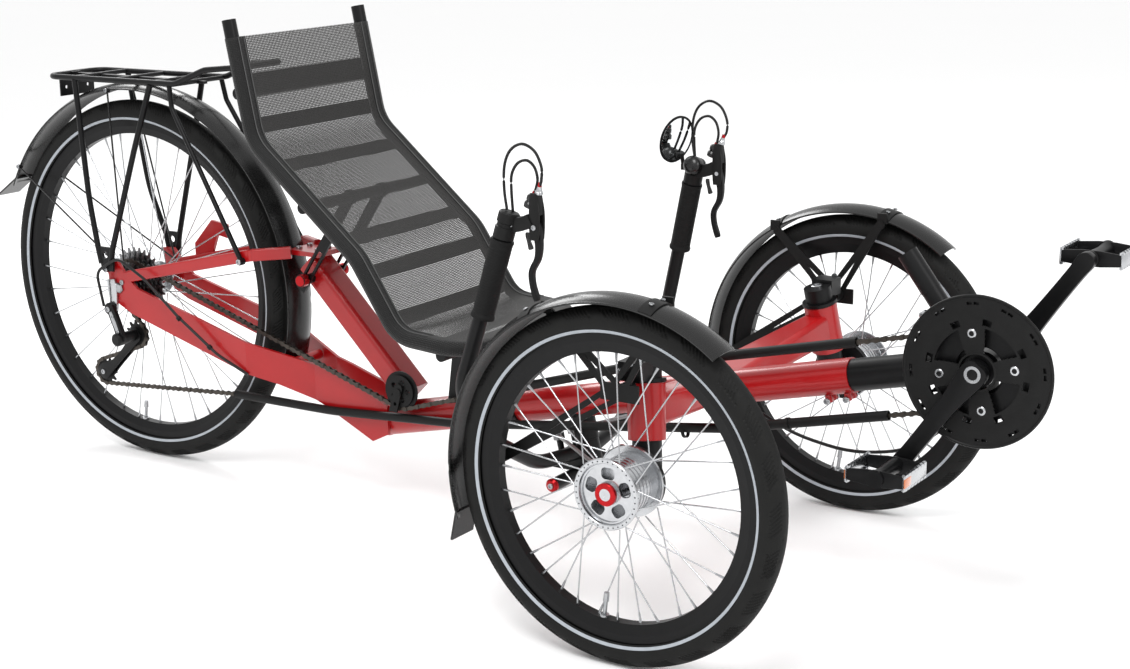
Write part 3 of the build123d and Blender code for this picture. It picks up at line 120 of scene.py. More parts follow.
def surface(name, colour, shade, gloss, grain, relief, stretch=(1, 1, 1), **sockets):
    """A material with mottled colour, uneven gloss and a fine relief.

    colour and shade are the two tones, gloss the lowest and highest roughness, grain the size of
    the pattern in millimetres, relief its depth in millimetres, stretch its length along X, Y, Z.
    """
    made = bpy.data.materials.new(name)
    made.use_nodes = True
    tree = made.node_tree
    shader = tree.nodes["Principled BSDF"]
    for socket, value in sockets.items():
        shader.inputs[socket.replace("_", " ")].default_value = value
    place = add(tree, "ShaderNodeTexCoord", {}).outputs["Object"]
    scale = [1 / length for length in stretch]
    pulled = add(tree, "ShaderNodeMapping", {"Vector": place, "Scale": scale}).outputs["Vector"]
    broad = add(tree, "ShaderNodeTexNoise", {"Vector": pulled, "Scale": 1 / (grain * 18 * MM), "Detail": 4.0})
    fine = add(tree, "ShaderNodeTexNoise", {"Vector": pulled, "Scale": 1 / (grain * MM), "Detail": 3.0})
    tones = add(tree, "ShaderNodeMixRGB",
                {"Fac": broad.outputs["Fac"], "Color1": linear(colour), "Color2": linear(shade)})
    grains = fine.outputs["Fac"]
    rough = add(tree, "ShaderNodeMapRange",
                {"Value": grains, "From Min": 0.3, "From Max": 0.7, "To Min": gloss[0], "To Max": gloss[1]})
    bump = add(tree, "ShaderNodeBump", {"Height": grains, "Distance": relief * MM, "Strength": 0.6})
    tree.links.new(tones.outputs["Color"], shader.inputs["Base Color"])
    tree.links.new(rough.outputs["Result"], shader.inputs["Roughness"])
    tree.links.new(bump.outputs["Normal"], shader.inputs["Normal"])
    return made


def woven_mesh(name, thread, hem):
    """Open sling mesh: round vinyl-coated polyester threads with small holes between them.

    The real thread is 0.6 mm; it is drawn coarser, so that it shows. Past the hem the cloth is a
    closed, darker sleeve round the tube.
    """
    made = surface(name, "#101010", "#0B0B0B", (0.46, 0.6), 1.5, 0.05,
                   Sheen_Weight=0.1, Specular_IOR_Level=0.25)
    tree = made.node_tree
    shader = tree.nodes["Principled BSDF"]
    cloth = add(tree, "ShaderNodeUVMap", {}, uv_map="cloth").outputs["UV"]
    split = add(tree, "ShaderNodeSeparateXYZ", {"Vector": cloth})
    waves = []
    for axis, pitch in (("X", thread * 1.3), ("Y", thread)):
        threads = {0: split.outputs[axis], 1: pi / (pitch * MM)}
        turns = add(tree, "ShaderNodeMath", threads, operation="MULTIPLY")
        wave = add(tree, "ShaderNodeMath", {0: turns.outputs[0]}, operation="SINE")
        waves.append(add(tree, "ShaderNodeMath", {0: wave.outputs[0]}, operation="ABSOLUTE").outputs[0])
    crossing = add(tree, "ShaderNodeMath", {0: waves[0], 1: waves[1]}, operation="MAXIMUM").outputs[0]
    bump = add(tree, "ShaderNodeBump", {"Height": crossing, "Distance": 0.9 * MM, "Strength": 0.9})
    across = add(tree, "ShaderNodeMath", {0: split.outputs["X"]}, operation="ABSOLUTE")
    past_hem = {0: across.outputs[0], 1: hem * MM}
    sleeve = add(tree, "ShaderNodeMath", past_hem, operation="GREATER_THAN").outputs[0]
    # painted light: each thread is coloured lighter along its crown and darker towards the holes, a painted
    # highlight on the round threads and painted shade at their edges
    shade = add(tree, "ShaderNodeMapRange",
                {"Value": crossing, "From Min": 0.45, "From Max": 0.95, "To Min": 0.0, "To Max": 1.0})
    tones = add(tree, "ShaderNodeMixRGB",
                {"Fac": shade.outputs["Result"], "Color1": linear("#080808"), "Color2": linear("#2C2B2A")})
    closed = add(tree, "ShaderNodeMixRGB",
                 {"Fac": sleeve, "Color1": tones.outputs["Color"], "Color2": linear("#0C0C0C")})
    thread_there = add(tree, "ShaderNodeMath", {0: crossing, 1: 0.76}, operation="GREATER_THAN").outputs[0]
    cover = add(tree, "ShaderNodeMath", {0: thread_there, 1: sleeve}, operation="MAXIMUM")
    tree.links.new(closed.outputs["Color"], shader.inputs["Base Color"])
    tree.links.new(cover.outputs[0], shader.inputs["Alpha"])
    tree.links.new(bump.outputs["Normal"], shader.inputs["Normal"])
    return made


# gloss enamel over steel: a deep even red with a clear coat and a slight orange peel
RED_ENAMEL = surface("red_enamel", "#A80C11", "#98080C", (0.28, 0.36), 1.6, 0.012,
                     Coat_Weight=0.25, Coat_Roughness=0.1, Specular_IOR_Level=0.4)
# powder coat: satin black with a fine pebble
POWDER_COAT = surface("black_powder_coat", "#0A0A0B", "#111112", (0.3, 0.42), 0.7, 0.03,
                      Specular_IOR_Level=0.2)
# injection-moulded polycarbonate: smoother, glossier black
MOULDED = surface("moulded_polycarbonate", "#090909", "#0F0F0F", (0.2, 0.3), 1.2, 0.01,
                  Specular_IOR_Level=0.45)
# glass-filled nylon: dull black with a soft grain
NYLON = surface("filled_nylon", "#0C0C0C", "#141414", (0.42, 0.55), 0.8, 0.05, Specular_IOR_Level=0.2)
# tyre rubber: dark grey with a bloom of dust and a fine pebble
RUBBER = surface("tyre_rubber", "#0E0E0E", "#171716", (0.55, 0.72), 1.1, 0.08, Specular_IOR_Level=0.18)
# grip rubber: soft black, nearly matt
GRIP = surface("grip_rubber", "#121212", "#191919", (0.58, 0.7), 0.9, 0.06, Specular_IOR_Level=0.15)
# reflective band: pale grey glass beads in a resin
BAND = surface("reflective_band", "#A9AEB4", "#8F959C", (0.35, 0.5), 0.6, 0.02)
# black anodised aluminium: a dark skin over metal, brushed round the rim
ANODISED = surface("black_anodised", "#0B0B0C", "#121213", (0.34, 0.46), 0.9, 0.02,
                   Metallic=0.3, Specular_IOR_Level=0.25)
# polished aluminium: bright with fine turning marks
POLISHED = surface("polished_aluminium", "#C4C5C7", "#A9ABAE", (0.16, 0.28), 0.5, 0.01, (1, 6, 1),
                   Metallic=1.0)
# stainless wire and bolts
STAINLESS = surface("stainless_steel", "#B4B5B7", "#929497", (0.2, 0.32), 0.5, 0.01, Metallic=1.0)
# nickel-plated sprocket steel: greyer, with machining marks
NICKEL = surface("nickel_plated_steel", "#8F8F90", "#6E6E70", (0.26, 0.4), 0.8, 0.02, Metallic=1.0)
# oiled chain steel: dark grey brown
CHAIN = surface("oiled_chain", "#55504B", "#36322E", (0.3, 0.5), 0.9, 0.04, Metallic=0.9)
# red anodised aluminium: a bright clear red metal
RED_ANODISED = surface("red_anodised", "#B80F18", "#940A11", (0.2, 0.3), 0.6, 0.01, Metallic=0.7)
# cable housing: extruded polymer
HOUSING = surface("cable_housing", "#0B0B0B", "#111111", (0.3, 0.42), 1.0, 0.01, Specular_IOR_Level=0.3)
# orange reflector: clear acrylic over prisms
REFLECTOR = surface("orange_reflector", "#D0733A", "#B05A22", (0.1, 0.22), 1.4, 0.12, Coat_Weight=0.8)
# mirror glass: silvered, almost perfectly smooth
GLASS = surface("silvered_glass", "#EDEFF0", "#E4E7E8", (0.02, 0.04), 8.0, 0.001, Metallic=1.0)
# nylon webbing
WEBBING = surface("webbing", "#0E0E0E", "#181818", (0.6, 0.75), 0.8, 0.1, (1, 4, 1), Specular_IOR_Level=0.2)
# sewn piping: the pale edge line of the sling
PIPING = surface("sewn_piping", "#3A3A3A", "#4A4A4A", (0.5, 0.65), 0.8, 0.1)
SLING = woven_mesh("sling_mesh", 2.6, 141.0)


# ---------------------------------------------------------------- mesh tools
def rod(bm, start, end, r, end_r=None, sides=24):
    """A round bar or a cone between two points, with radii in millimetres."""
    line = end - start
    place = Matrix.Translation((start + end) / 2) @ line.to_track_quat("Z", "Y").to_matrix().to_4x4()
    far = r if end_r is None else end_r
    made = bmesh.ops.create_cone(bm, cap_ends=True, segments=sides, radius1=r * MM, radius2=far * MM,
                                 depth=line.length, matrix=place)
    return made["verts"]


def block(bm, centre, size, turn=0.0):
    """A box with its size in millimetres, turned about Y."""
    grown = Matrix.Diagonal([length * MM for length in size] + [1])
    place = Matrix.Translation(centre) @ Matrix.Rotation(turn, 4, "Y") @ grown
    return bmesh.ops.create_cube(bm, size=1.0, matrix=place)["verts"]


def soften(bm, verts, width, segments=2):
    """Rounds every edge of the given corners."""
    edges = list({edge for vert in verts for edge in vert.link_edges})
    bmesh.ops.bevel(bm, geom=edges, offset=width * MM, segments=segments, profile=0.5, affect="EDGES",
                    material=-1, clamp_overlap=True)


def lathe(bm, centre, axis, outline, steps=48, closed=True):
    """A turned shape from (distance along the axis, radius) points in millimetres."""
    axis = axis.normalized()
    side = axis.orthogonal().normalized()
    verts = [bm.verts.new(centre + axis * a * MM + side * r * MM) for a, r in outline]
    pairs = list(zip(verts, verts[1:])) + ([(verts[-1], verts[0])] if closed else [])
    edges = [bm.edges.new(pair) for pair in pairs]
    bmesh.ops.spin(bm, geom=verts + edges, cent=centre, axis=axis, dvec=(0, 0, 0), angle=2 * pi,
                   steps=steps, use_merge=True)


def plate(bm, outline, y, thickness, round_off=0.0):
    """A flat plate in the XZ plane from (x, z) points, centred on y."""
    face = bm.faces.new([bm.verts.new(at(x, y - thickness / 2, z)) for x, z in outline])
    made = bmesh.ops.extrude_face_region(bm, geom=[face])["geom"]
    top = [part for part in made if isinstance(part, bmesh.types.BMVert)]
    bmesh.ops.translate(bm, verts=top, vec=ACROSS * thickness * MM)
    verts = list(face.verts) + top
    if round_off:
        soften(bm, verts, round_off)
    return verts


def bolt(bm, place, axis, r=4.0, height=4.0):
    """A socket-head bolt that stands on a surface."""
    axis = axis.normalized()
    socket = height * 0.45
    outline = [(0, 0), (0, r), (height * 0.8, r), (height, r * 0.86), (height, r * 0.55), (socket, r * 0.5),
               (socket, 0)]
    lathe(bm, place, axis, outline, steps=12, closed=False)


def smooth_line(points, steps=6):
    """More points on a soft curve through the given ones."""
    made = []
    for i in range(len(points) - 1):
        p0, p1, p2 = points[max(i - 1, 0)], points[i], points[i + 1]
        p3 = points[min(i + 2, len(points) - 1)]
        for step in range(steps):
            t = step / steps
            weights = (-t + 2 * t ** 2 - t ** 3, 2 - 5 * t ** 2 + 3 * t ** 3,
                       t + 4 * t ** 2 - 3 * t ** 3, t ** 3 - t ** 2)
            corners = zip(p0, p1, p2, p3)
            made.append(tuple(0.5 * sum(w * c for w, c in zip(weights, corner)) for corner in corners))
    return made + [tuple(points[-1])]


def strip(points):
    """The outline of a flat bar from (x, z, half width) points along its middle."""
    left, right = [], []
    for i, (x, z, half) in enumerate(points):
        ahead, behind = points[min(i + 1, len(points) - 1)], points[max(i - 1, 0)]
        dx, dz = ahead[0] - behind[0], ahead[1] - behind[1]
        size = hypot(dx, dz)
        left.append((x - dz / size * half, z + dx / size * half))
        right.append((x + dz / size * half, z - dx / size * half))
    return left + right[::-1]


def wire(bm, points, r, sides=10):
    """A round wire through points of the frame, in short straight lengths that share their ends."""
    ring = None
    for i, point in enumerate(points):
        ahead, behind = points[min(i + 1, len(points) - 1)], points[max(i - 1, 0)]
        turn = (ahead - behind).to_track_quat("Z", "Y").to_matrix()
        angles = [2 * pi * k / sides for k in range(sides)]
        circle = [bm.verts.new(point + turn @ Vector((cos(a), sin(a), 0)) * r * MM) for a in angles]
        if ring:
            for k in range(sides):
                bm.faces.new((ring[k], ring[(k + 1) % sides], circle[(k + 1) % sides], circle[k]))
        else:
            bm.faces.new(circle[::-1])
        ring = circle
    bm.faces.new(ring)


def piece(bm, name, body, material, replaces=(), sharp=35):
    """Turns a finished bmesh into a piece that rides on a body."""
    bmesh.ops.remove_doubles(bm, verts=bm.verts, dist=1e-6)
    bmesh.ops.recalc_face_normals(bm, faces=bm.faces)
    mesh = bpy.data.meshes.new(name)
    bm.to_mesh(mesh)
    bm.free()
    mesh.polygons.foreach_set("use_smooth", [True] * len(mesh.polygons))
    mesh.set_sharp_from_angle(angle=radians(sharp))
    mesh.materials.append(material)
    made = bpy.data.objects.new(name, mesh)
    bpy.context.scene.collection.objects.link(made)
    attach(made, body)
    if replaces:
        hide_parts(*replaces)
    return made


# ---------------------------------------------------------------- carried-over CAD nodes
def finish_nodes():
    """Gives every CAD node that stays in view its finish."""
    finishes = {
        "red_paint": RED_ENAMEL, "black_paint": POWDER_COAT, "black_plastic": NYLON, "tyre_rubber": RUBBER,
        "rim_black": ANODISED, "polished_aluminium": POLISHED, "steel": NICKEL, "chain_steel": CHAIN,
        "mesh_fabric": SLING, "mirror_glass": GLASS, "cable_black": HOUSING,
    }
    for part in frame["record"]["subparts"]:
        node = frame["nodes"][part["node"]]
        node.data.materials.clear()
        finish = MOULDED if "fender_l" in node.name or "fender_r" in node.name or node.name == "rear_fender" \
            else finishes[part["material_slot"]]
        if "bracket" in node.name:
            finish = NYLON
        if node.name == "chainrings":
            finish = ANODISED
        node.data.materials.append(finish)


# ---------------------------------------------------------------- wheels
TYRE_HALF = 21.0            # half the tyre's own thickness
BEAD_DROP = 14.0            # from the middle of the tyre down to the rim's outer edge


def tread_depth(u, v):
    """How deep the tread is cut at u round the tyre and v across it, in millimetres."""
    side = abs(v)
    if 2.4 < side < 4.2:
        return 0.9
    slanted = u + 0.9 * side
    if 9 < side < 25 and slanted % 62.0 < 40.0 and slanted % 5.8 < 2.4:
        return 1.5
    if 5.2 < side < 8.6 and (u - side) % 31.0 < 3.4:
        return 1.0
    return 0.0


def tyre(name, joint, body):
    """A slick touring tyre with cut shoulder blocks and a reflective band on each wall."""
    centre = pivot(joint)
    radius = centre.z / MM
    middle = radius - TYRE_HALF
    outer_r = TYRE_HALF - 0.2
    skin = []
    for step in range(45):
        a = radians(-132 + 264 * step / 44)
        skin.append((outer_r * sin(a), middle + outer_r * cos(a)))
    for step in range(7):
        a = radians(132 - 264 * step / 6)
        skin.append((16.5 * sin(a), middle + 16.5 * cos(a)))
    bm = bmesh.new()
    lathe(bm, centre, ACROSS, skin, steps=int(2 * pi * radius / 1.9))
    for vert in bm.verts:
        flat = vert.co - centre
        y = flat.y / MM
        r = hypot(flat.x, flat.z) / MM
        if hypot(y, r - middle) > TYRE_HALF - 2:
            depth = tread_depth(atan2(flat.z, flat.x) * radius, atan2(y, r - middle) * TYRE_HALF)
            if depth:
                out = Vector((flat.x / r / MM * (r - middle), y, flat.z / r / MM * (r - middle))).normalized()
                vert.co -= out * depth * MM
    piece(bm, "tyre_tread_" + name, body, RUBBER, ["tyre_" + name], sharp=28)
    bm = bmesh.new()
    for side in (-1, 1):
        band = [(TYRE_HALF + 0.35, radians(124 - 4 * k)) for k in range(4)]
        band += [(TYRE_HALF - 0.6, radians(112 + 4 * k)) for k in range(4)]
        lathe(bm, centre, ACROSS, [(side * r * sin(a), middle + r * cos(a)) for r, a in band], steps=160)
    piece(bm, "reflective_bands_" + name, body, BAND)


def wheel_trim(name, joint, body, rim_depth, front):
    """Spoke nipples, the valve and, on a front wheel, the bright hub trim and its red ring."""
    centre = pivot(joint)
    inner = centre.z / MM - TYRE_HALF - BEAD_DROP - rim_depth
    bm = bmesh.new()
    flanges, flange_r = ((-33, 29), 49.2) if front else ((-16.5, 29.5), 30.2)
    mirrored = -1 if name == "right" else 1
    for number in range(36):
        odd = number % 2
        at_rim = 2 * pi * number / 36
        at_hub = at_rim - radians(24 if number % 4 < 2 else -24)
        rim_y, hub_y = (3.0 if odd else -3.0) * mirrored, flanges[odd] * mirrored
        end = centre + Vector((inner * cos(at_rim), rim_y, inner * sin(at_rim))) * MM
        start = centre + Vector((flange_r * cos(at_hub), hub_y, flange_r * sin(at_hub))) * MM
        line = (end - start).normalized()
        rod(bm, end - line * 13 * MM, end + line * 1.5 * MM, 1.3, 2.2, sides=8)
    angle = radians(-97)
    out = Vector((cos(angle), 0, sin(angle)))
    rod(bm, centre + out * (inner - 24) * MM, centre + out * (inner + 2) * MM, 2.9, sides=12)
    rod(bm, centre + out * (inner - 34) * MM, centre + out * (inner - 22) * MM, 3.6, 4.2, sides=12)
    rod(bm, centre + out * (inner - 3) * MM, centre + out * (inner + 1) * MM, 6.5, 7, sides=12)
    piece(bm, "nipples_and_valve_" + name, body, STAINLESS)
    if not front:
        return
    side = SIDES[name]
    out = ACROSS * side
    bm = bmesh.new()
    collar = [(29.2, 14.05), (29.2, 15.4), (32.4, 15.4), (33.05, 14.6), (33.05, 8.2), (32.6, 8.2)]
    lathe(bm, centre, out, collar, steps=40)
    piece(bm, "red_hub_ring_" + name, body, RED_ANODISED)
    bm = bmesh.new()
    bolt(bm, centre + out * 32.6 * MM, out, 5.2, 0.45)
    for number in range(36):
        angle = 2 * pi * (number + 0.5) / 36
        foot = centre + Vector((cos(angle), 0, sin(angle))) * 44.5 * MM + out * 30.6 * MM
        rod(bm, foot, foot + out * 1.0 * MM, 1.5, 1.1, sides=8)
    lathe(bm, centre, out, [(31, 47.6), (31, 41.5), (31.6, 42), (31.6, 47.0)], steps=64)
    lathe(bm, centre, out, [(-35.4, 48), (-35.4, 34), (-36.4, 35), (-36.4, 47)], steps=64)
    for a in (-20, -12, -4, 4, 12, 20):
        lathe(bm, centre, out, [(a - 2.2, 37.6), (a - 2.2, 38.8), (a + 2.2, 38.8), (a + 2.2, 37.6)], steps=64)
    piece(bm, "hub_trim_" + name, body, POLISHED)


# ---------------------------------------------------------------- seat
SEAT_HALF = 157.0           # from the middle of the seat to a side tube
SEAT_TUBE_R = 11.0
# corner points (x, z) of a side tube and the radii of its bends
SEAT_CURVE = ((-824.0, 800.0), (-786.0, 612.0), (-590.0, 448.0), (-515.0, 335.0), (-385.0, 326.0))
SEAT_BENDS = (70.0, 90.0, 55.0)
SEAT_CORNER = 60.0          # bend between a side tube and the front bar
CLOTH = 0.7                 # thickness
WRAP_R = SEAT_TUBE_R + CLOTH / 2 + 0.3
SAG = 7.0                   # how far the middle hangs between the side tubes
TOP_GAP = 24.0              # bare tube above the cloth


def rounded(points, radii, step):
    """(x, z) points along straight runs joined by arcs, a small step apart."""
    made = [Vector(points[0])]
    for before, corner, after, r in zip(points, points[1:], points[2:], radii):
        a = (Vector(before) - Vector(corner)).normalized()
        b = (Vector(after) - Vector(corner)).normalized()
        half = a.angle(b) / 2
        reach = r / tan(half)
        middle = Vector(corner) + (a + b).normalized() * r / sin(half)
        first, last = Vector(corner) + a * reach, Vector(corner) + b * reach
        start = first - middle
        sweep = start.angle_signed(last - middle)
        count = max(4, int(abs(sweep) * r / step))
        made += [middle + Matrix.Rotation(-sweep * k / count, 2) @ start for k in range(count + 1)]
    made.append(Vector(points[-1]))
    even = [made[0]]
    for point in made[1:]:
        gap = (point - even[-1]).length
        count = max(1, round(gap / step))
        start = even[-1]
        even += [start.lerp(point, k / count) for k in range(1, count + 1)]
    return even


def seat_sling():
    """The mesh sling: one cloth that wraps both side tubes and the front bar."""
    line = rounded(SEAT_CURVE, SEAT_BENDS, 7.0)
    total = sum((b - a).length for a, b in zip(line, line[1:]))
    wrap = [radians(215 - 215 * k / 12) for k in range(13)]
    columns = 28
    bm = bmesh.new()
    uv_layer = bm.loops.layers.uv.new("cloth")
    rows, run = [], 0.0
    for i, point in enumerate(line):
        ahead, behind = line[min(i + 1, len(line) - 1)], line[max(i - 1, 0)]
        run += (point - line[i - 1]).length if i else 0.0
        if run < TOP_GAP:
            continue
        direction = (ahead - behind).normalized()
        up = Vector((-direction.y, direction.x))
        past = max(0.0, SEAT_CORNER - (total - run))
        inset = SEAT_CORNER - sqrt(max(SEAT_CORNER ** 2 - past ** 2, 0.0))
        lean = asin(min(past / SEAT_CORNER, 1.0))
        edge = SEAT_HALF - inset
        half_row = []
        for angle in wrap:
            out = WRAP_R * sin(angle)
            shift = point + direction * out * sin(lean) + up * WRAP_R * cos(angle)
            half_row.append((edge + out * cos(lean), shift, WRAP_R * angle))
        row = [(-y, spot, -edge - turn) for y, spot, turn in half_row]
        share_in = min(1.0, run / 120.0) * min(1.0, (total - run) / 60.0)
        for k in range(1, columns):
            t = -1 + 2 * k / columns
            dip = SAG * share_in * (1 - t * t)
            row.append((t * edge, point + up * (WRAP_R - dip), t * edge))
        row += [(y, spot, edge + turn) for y, spot, turn in half_row[::-1]]
        rows.append([(bm.verts.new(at(spot.x, y, spot.y)), u, run) for y, spot, u in row])
    nose, direction = line[-1], (line[-1] - line[-2]).normalized()
    up = Vector((-direction.y, direction.x))
    edge = SEAT_HALF - SEAT_CORNER
    for angle in wrap[::-1][1:]:
        spot = nose + direction * WRAP_R * sin(angle) + up * WRAP_R * cos(angle)
        row = []
        for k in range(columns + 1):
            t = -1 + 2 * k / columns
            row.append((bm.verts.new(at(spot.x, t * edge, spot.y)), t * edge, total + WRAP_R * angle))
        rows.append([None] * (len(wrap) - 1) + row + [None] * (len(wrap) - 1))
    for lower, upper in zip(rows, rows[1:]):
        for a, b, c, d in zip(lower, lower[1:], upper[1:], upper):
            if not (a and b and c and d):
                continue
            face = bm.faces.new((a[0], b[0], c[0], d[0]))
            for loop, corner in zip(face.loops, (a, b, c, d)):
                loop[uv_layer].uv = (corner[1] * MM, corner[2] * MM)
    sling = piece(bm, "seat_sling", "seat", SLING, ["seat_mesh"], sharp=60)
    thick = sling.modifiers.new("cloth thickness", "SOLIDIFY")
    thick.thickness = CLOTH * MM
    thick.offset = 0.0


def seat_trim():
    """Seam lines along the sling, webbing behind it, and the plugs in the tube ends."""
    line = rounded(SEAT_CURVE, SEAT_BENDS, 14.0)
    bm = bmesh.new()
    for side in (-1, 1):
        for inset in (0.0, 13.0):
            points = []
            for i, point in enumerate(line[2:-5]):
                direction = (line[i + 3] - line[i + 1]).normalized()
                up = Vector((-direction.y, direction.x))
                height = WRAP_R + 0.9 if inset == 0.0 else WRAP_R + 0.3
                spot = point + up * height
                points.append(at(spot.x, side * (SEAT_HALF - inset), spot.y))
            wire(bm, points, 0.9, sides=6)
    piece(bm, "sling_seams", "seat", PIPING)
    bm = bmesh.new()
    length = sum((b - a).length for a, b in zip(line, line[1:]))
    run = 0.0
    marks = [0.13, 0.235, 0.34, 0.56, 0.66, 0.78, 0.88]
    for i in range(1, len(line) - 1):
        run += (line[i] - line[i - 1]).length
        if marks and run > marks[0] * length:
            marks.pop(0)
            direction = (line[i + 1] - line[i - 1]).normalized()
            up = Vector((-direction.y, direction.x))
            spot = line[i] - up * 5.5
            size = (2.2, 2 * (SEAT_HALF - SEAT_TUBE_R), 25)
            verts = block(bm, at(spot.x, 0, spot.y), size, atan2(direction.x, direction.y))
            soften(bm, verts, 0.6, 1)
    piece(bm, "back_webbing", "seat", WEBBING)
    bm = bmesh.new()
    top, below = Vector(SEAT_CURVE[0]), Vector(SEAT_CURVE[1])
    out = (top - below).normalized()
    for side in (-1, 1):
        foot = at(top.x, side * SEAT_HALF, top.y)
        axis = Vector((out.x, 0, out.y))
        plug = [(-1, 0), (-1, 10.8), (-0.2, 10.8), (0.3, 9.5), (0.3, 0)]
        lathe(bm, foot, axis, plug, steps=24, closed=False)
    piece(bm, "tube_plugs", "seat", MOULDED)


# ---------------------------------------------------------------- chain
PITCH = 12.7
CHAIN_Y = -40.0             # the plane the chain runs in
RING_TEETH, DRIVEN_TEETH, IDLER_TEETH, JOCKEY_TEETH = 26, 21, 15, 11
CHAIN_SPLIT = 232.0         # where the run on the boom ends, back from the crank axis
# corner points (x, z) of the lower run under the beam
LOWER_BENDS = ((-489.0, 172.0), (-750.0, 154.5), (-960.0, 153.0))
# half the outline of a link plate: distance from its first pin and half width
LINK_SIDE = [(-3.4, 1.8), (-1.6, 3.7), (2.2, 3.6), (4.6, 2.5),
             (8.1, 2.5), (10.5, 3.6), (14.3, 3.7), (16.1, 1.8)]


def pitch_radius(teeth):
    """Where the chain's pins run on a sprocket."""
    return PITCH / (2 * sin(pi / teeth))


def tangent(first, second, turn_first, turn_second):
    """Where a belt leaves one pulley and meets the next; turn is +1 anticlockwise."""
    (c1, r1), (c2, r2) = first, second
    dx, dz = c2[0] - c1[0], c2[1] - c1[1]
    signed = turn_first * r1 - turn_second * r2
    normal = atan2(dz, dx) - pi / 2 + asin(signed / hypot(dx, dz))
    return ring_point(c1, turn_first * r1, normal), ring_point(c2, turn_second * r2, normal)


def wrapped(centre, r, a, b, turn):
    """Points on a pulley from one tangent point to the next."""
    start = atan2(a[1] - centre[1], a[0] - centre[0])
    sweep = (atan2(b[1] - centre[1], b[0] - centre[0]) - start) * turn % (2 * pi)
    count = max(4, int(sweep * r / 4))
    return [ring_point(centre, r, start + turn * sweep * k / count) for k in range(count + 1)]


def link_chain(name, body, path, node):
    """A roller chain laid along a path of (x, z) points."""
    steps = [0.0]
    for a, b in zip(path, path[1:]):
        steps.append(steps[-1] + hypot(b[0] - a[0], b[1] - a[1]))
    count = int(steps[-1] / PITCH)
    pins, i = [], 0
    for number in range(count + 1):
        want = number * PITCH
        while i < len(steps) - 2 and steps[i + 1] < want:
            i += 1
        share = (want - steps[i]) / max(steps[i + 1] - steps[i], 1e-6)
        pins.append((path[i][0] + (path[i + 1][0] - path[i][0]) * share,
                     path[i][1] + (path[i + 1][1] - path[i][1]) * share))
    bm = bmesh.new()
    for number, (a, b) in enumerate(zip(pins, pins[1:])):
        dx, dz = (b[0] - a[0]) / PITCH, (b[1] - a[1]) / PITCH
        outline = [(a[0] + dx * run - dz * half, a[1] + dz * run + dx * half) for run, half in LINK_SIDE]
        outline += [(a[0] + dx * run + dz * half, a[1] + dz * run - dx * half)
                    for run, half in LINK_SIDE[::-1]]
        offset = 2.75 if number % 2 else 1.85
        for y in (-offset, offset):
            plate(bm, outline, CHAIN_Y + y, 0.8)
        rod(bm, at(a[0], CHAIN_Y - 3.2, a[1]), at(a[0], CHAIN_Y + 3.2, a[1]), 1.8, sides=8)
        rod(bm, at(a[0], CHAIN_Y - 1.4, a[1]), at(a[0], CHAIN_Y + 1.4, a[1]), 3.4, sides=10)
    piece(bm, name, body, CHAIN, [node])


def chains():
    """The run on the boom and the run over the idler, cassette and pulleys."""
    ring_r = pitch_radius(RING_TEETH)
    ring = local(CRANK_AXIS)
    top, bottom = local(along(0, ring_r)), local(along(0, -ring_r))
    front = [local(along(CHAIN_SPLIT, ring_r))] + wrapped(ring, ring_r, top, bottom, -1)
    link_chain("chain_links_front", "boom", front + [local(along(CHAIN_SPLIT, -ring_r))], "chain_front")
    cog = (local(pivot("cassette_spin")), pitch_radius(DRIVEN_TEETH))
    idler = (local(pivot("idler_spin")), pitch_radius(IDLER_TEETH))
    guide = (local(pivot("jockey_upper_spin")), pitch_radius(JOCKEY_TEETH))
    tension = (local(pivot("jockey_lower_spin")), pitch_radius(JOCKEY_TEETH))
    bend = local(along(525.0, ring_r))
    low = [local(along(CHAIN_SPLIT, -ring_r)), local(along(400.0, -ring_r))] + list(LOWER_BENDS)
    a1, a2 = tangent((bend, 0.001), idler, -1, -1)
    b1, b2 = tangent(idler, cog, -1, 1)
    c1, c2 = tangent(cog, guide, 1, -1)
    d1, d2 = tangent(guide, tension, -1, 1)
    e1, e2 = tangent(tension, (low[-1], 0.001), 1, 1)
    path = [local(along(CHAIN_SPLIT, ring_r)), a1] + wrapped(*idler, a2, b1, -1) + wrapped(*cog, b2, c1, 1)
    path += wrapped(*guide, c2, d1, -1) + wrapped(*tension, d2, e1, 1) + [e2] + low[:-1][::-1]
    link_chain("chain_links_rear", "frame", path, "chain_rear")


# ---------------------------------------------------------------- cranks and pedals
CRANK_LENGTH = 165.0
CRANK_INNER = 62.5          # inner face of an arm, from the middle


def crank_angle(side):
    """The way an arm points, from the crank axis to its pedal."""
    pedal = local(pivot("pedal_spin_left" if side > 0 else "pedal_spin_right"))
    ring = local(CRANK_AXIS)
    return atan2(pedal[1] - ring[1], pedal[0] - ring[0])


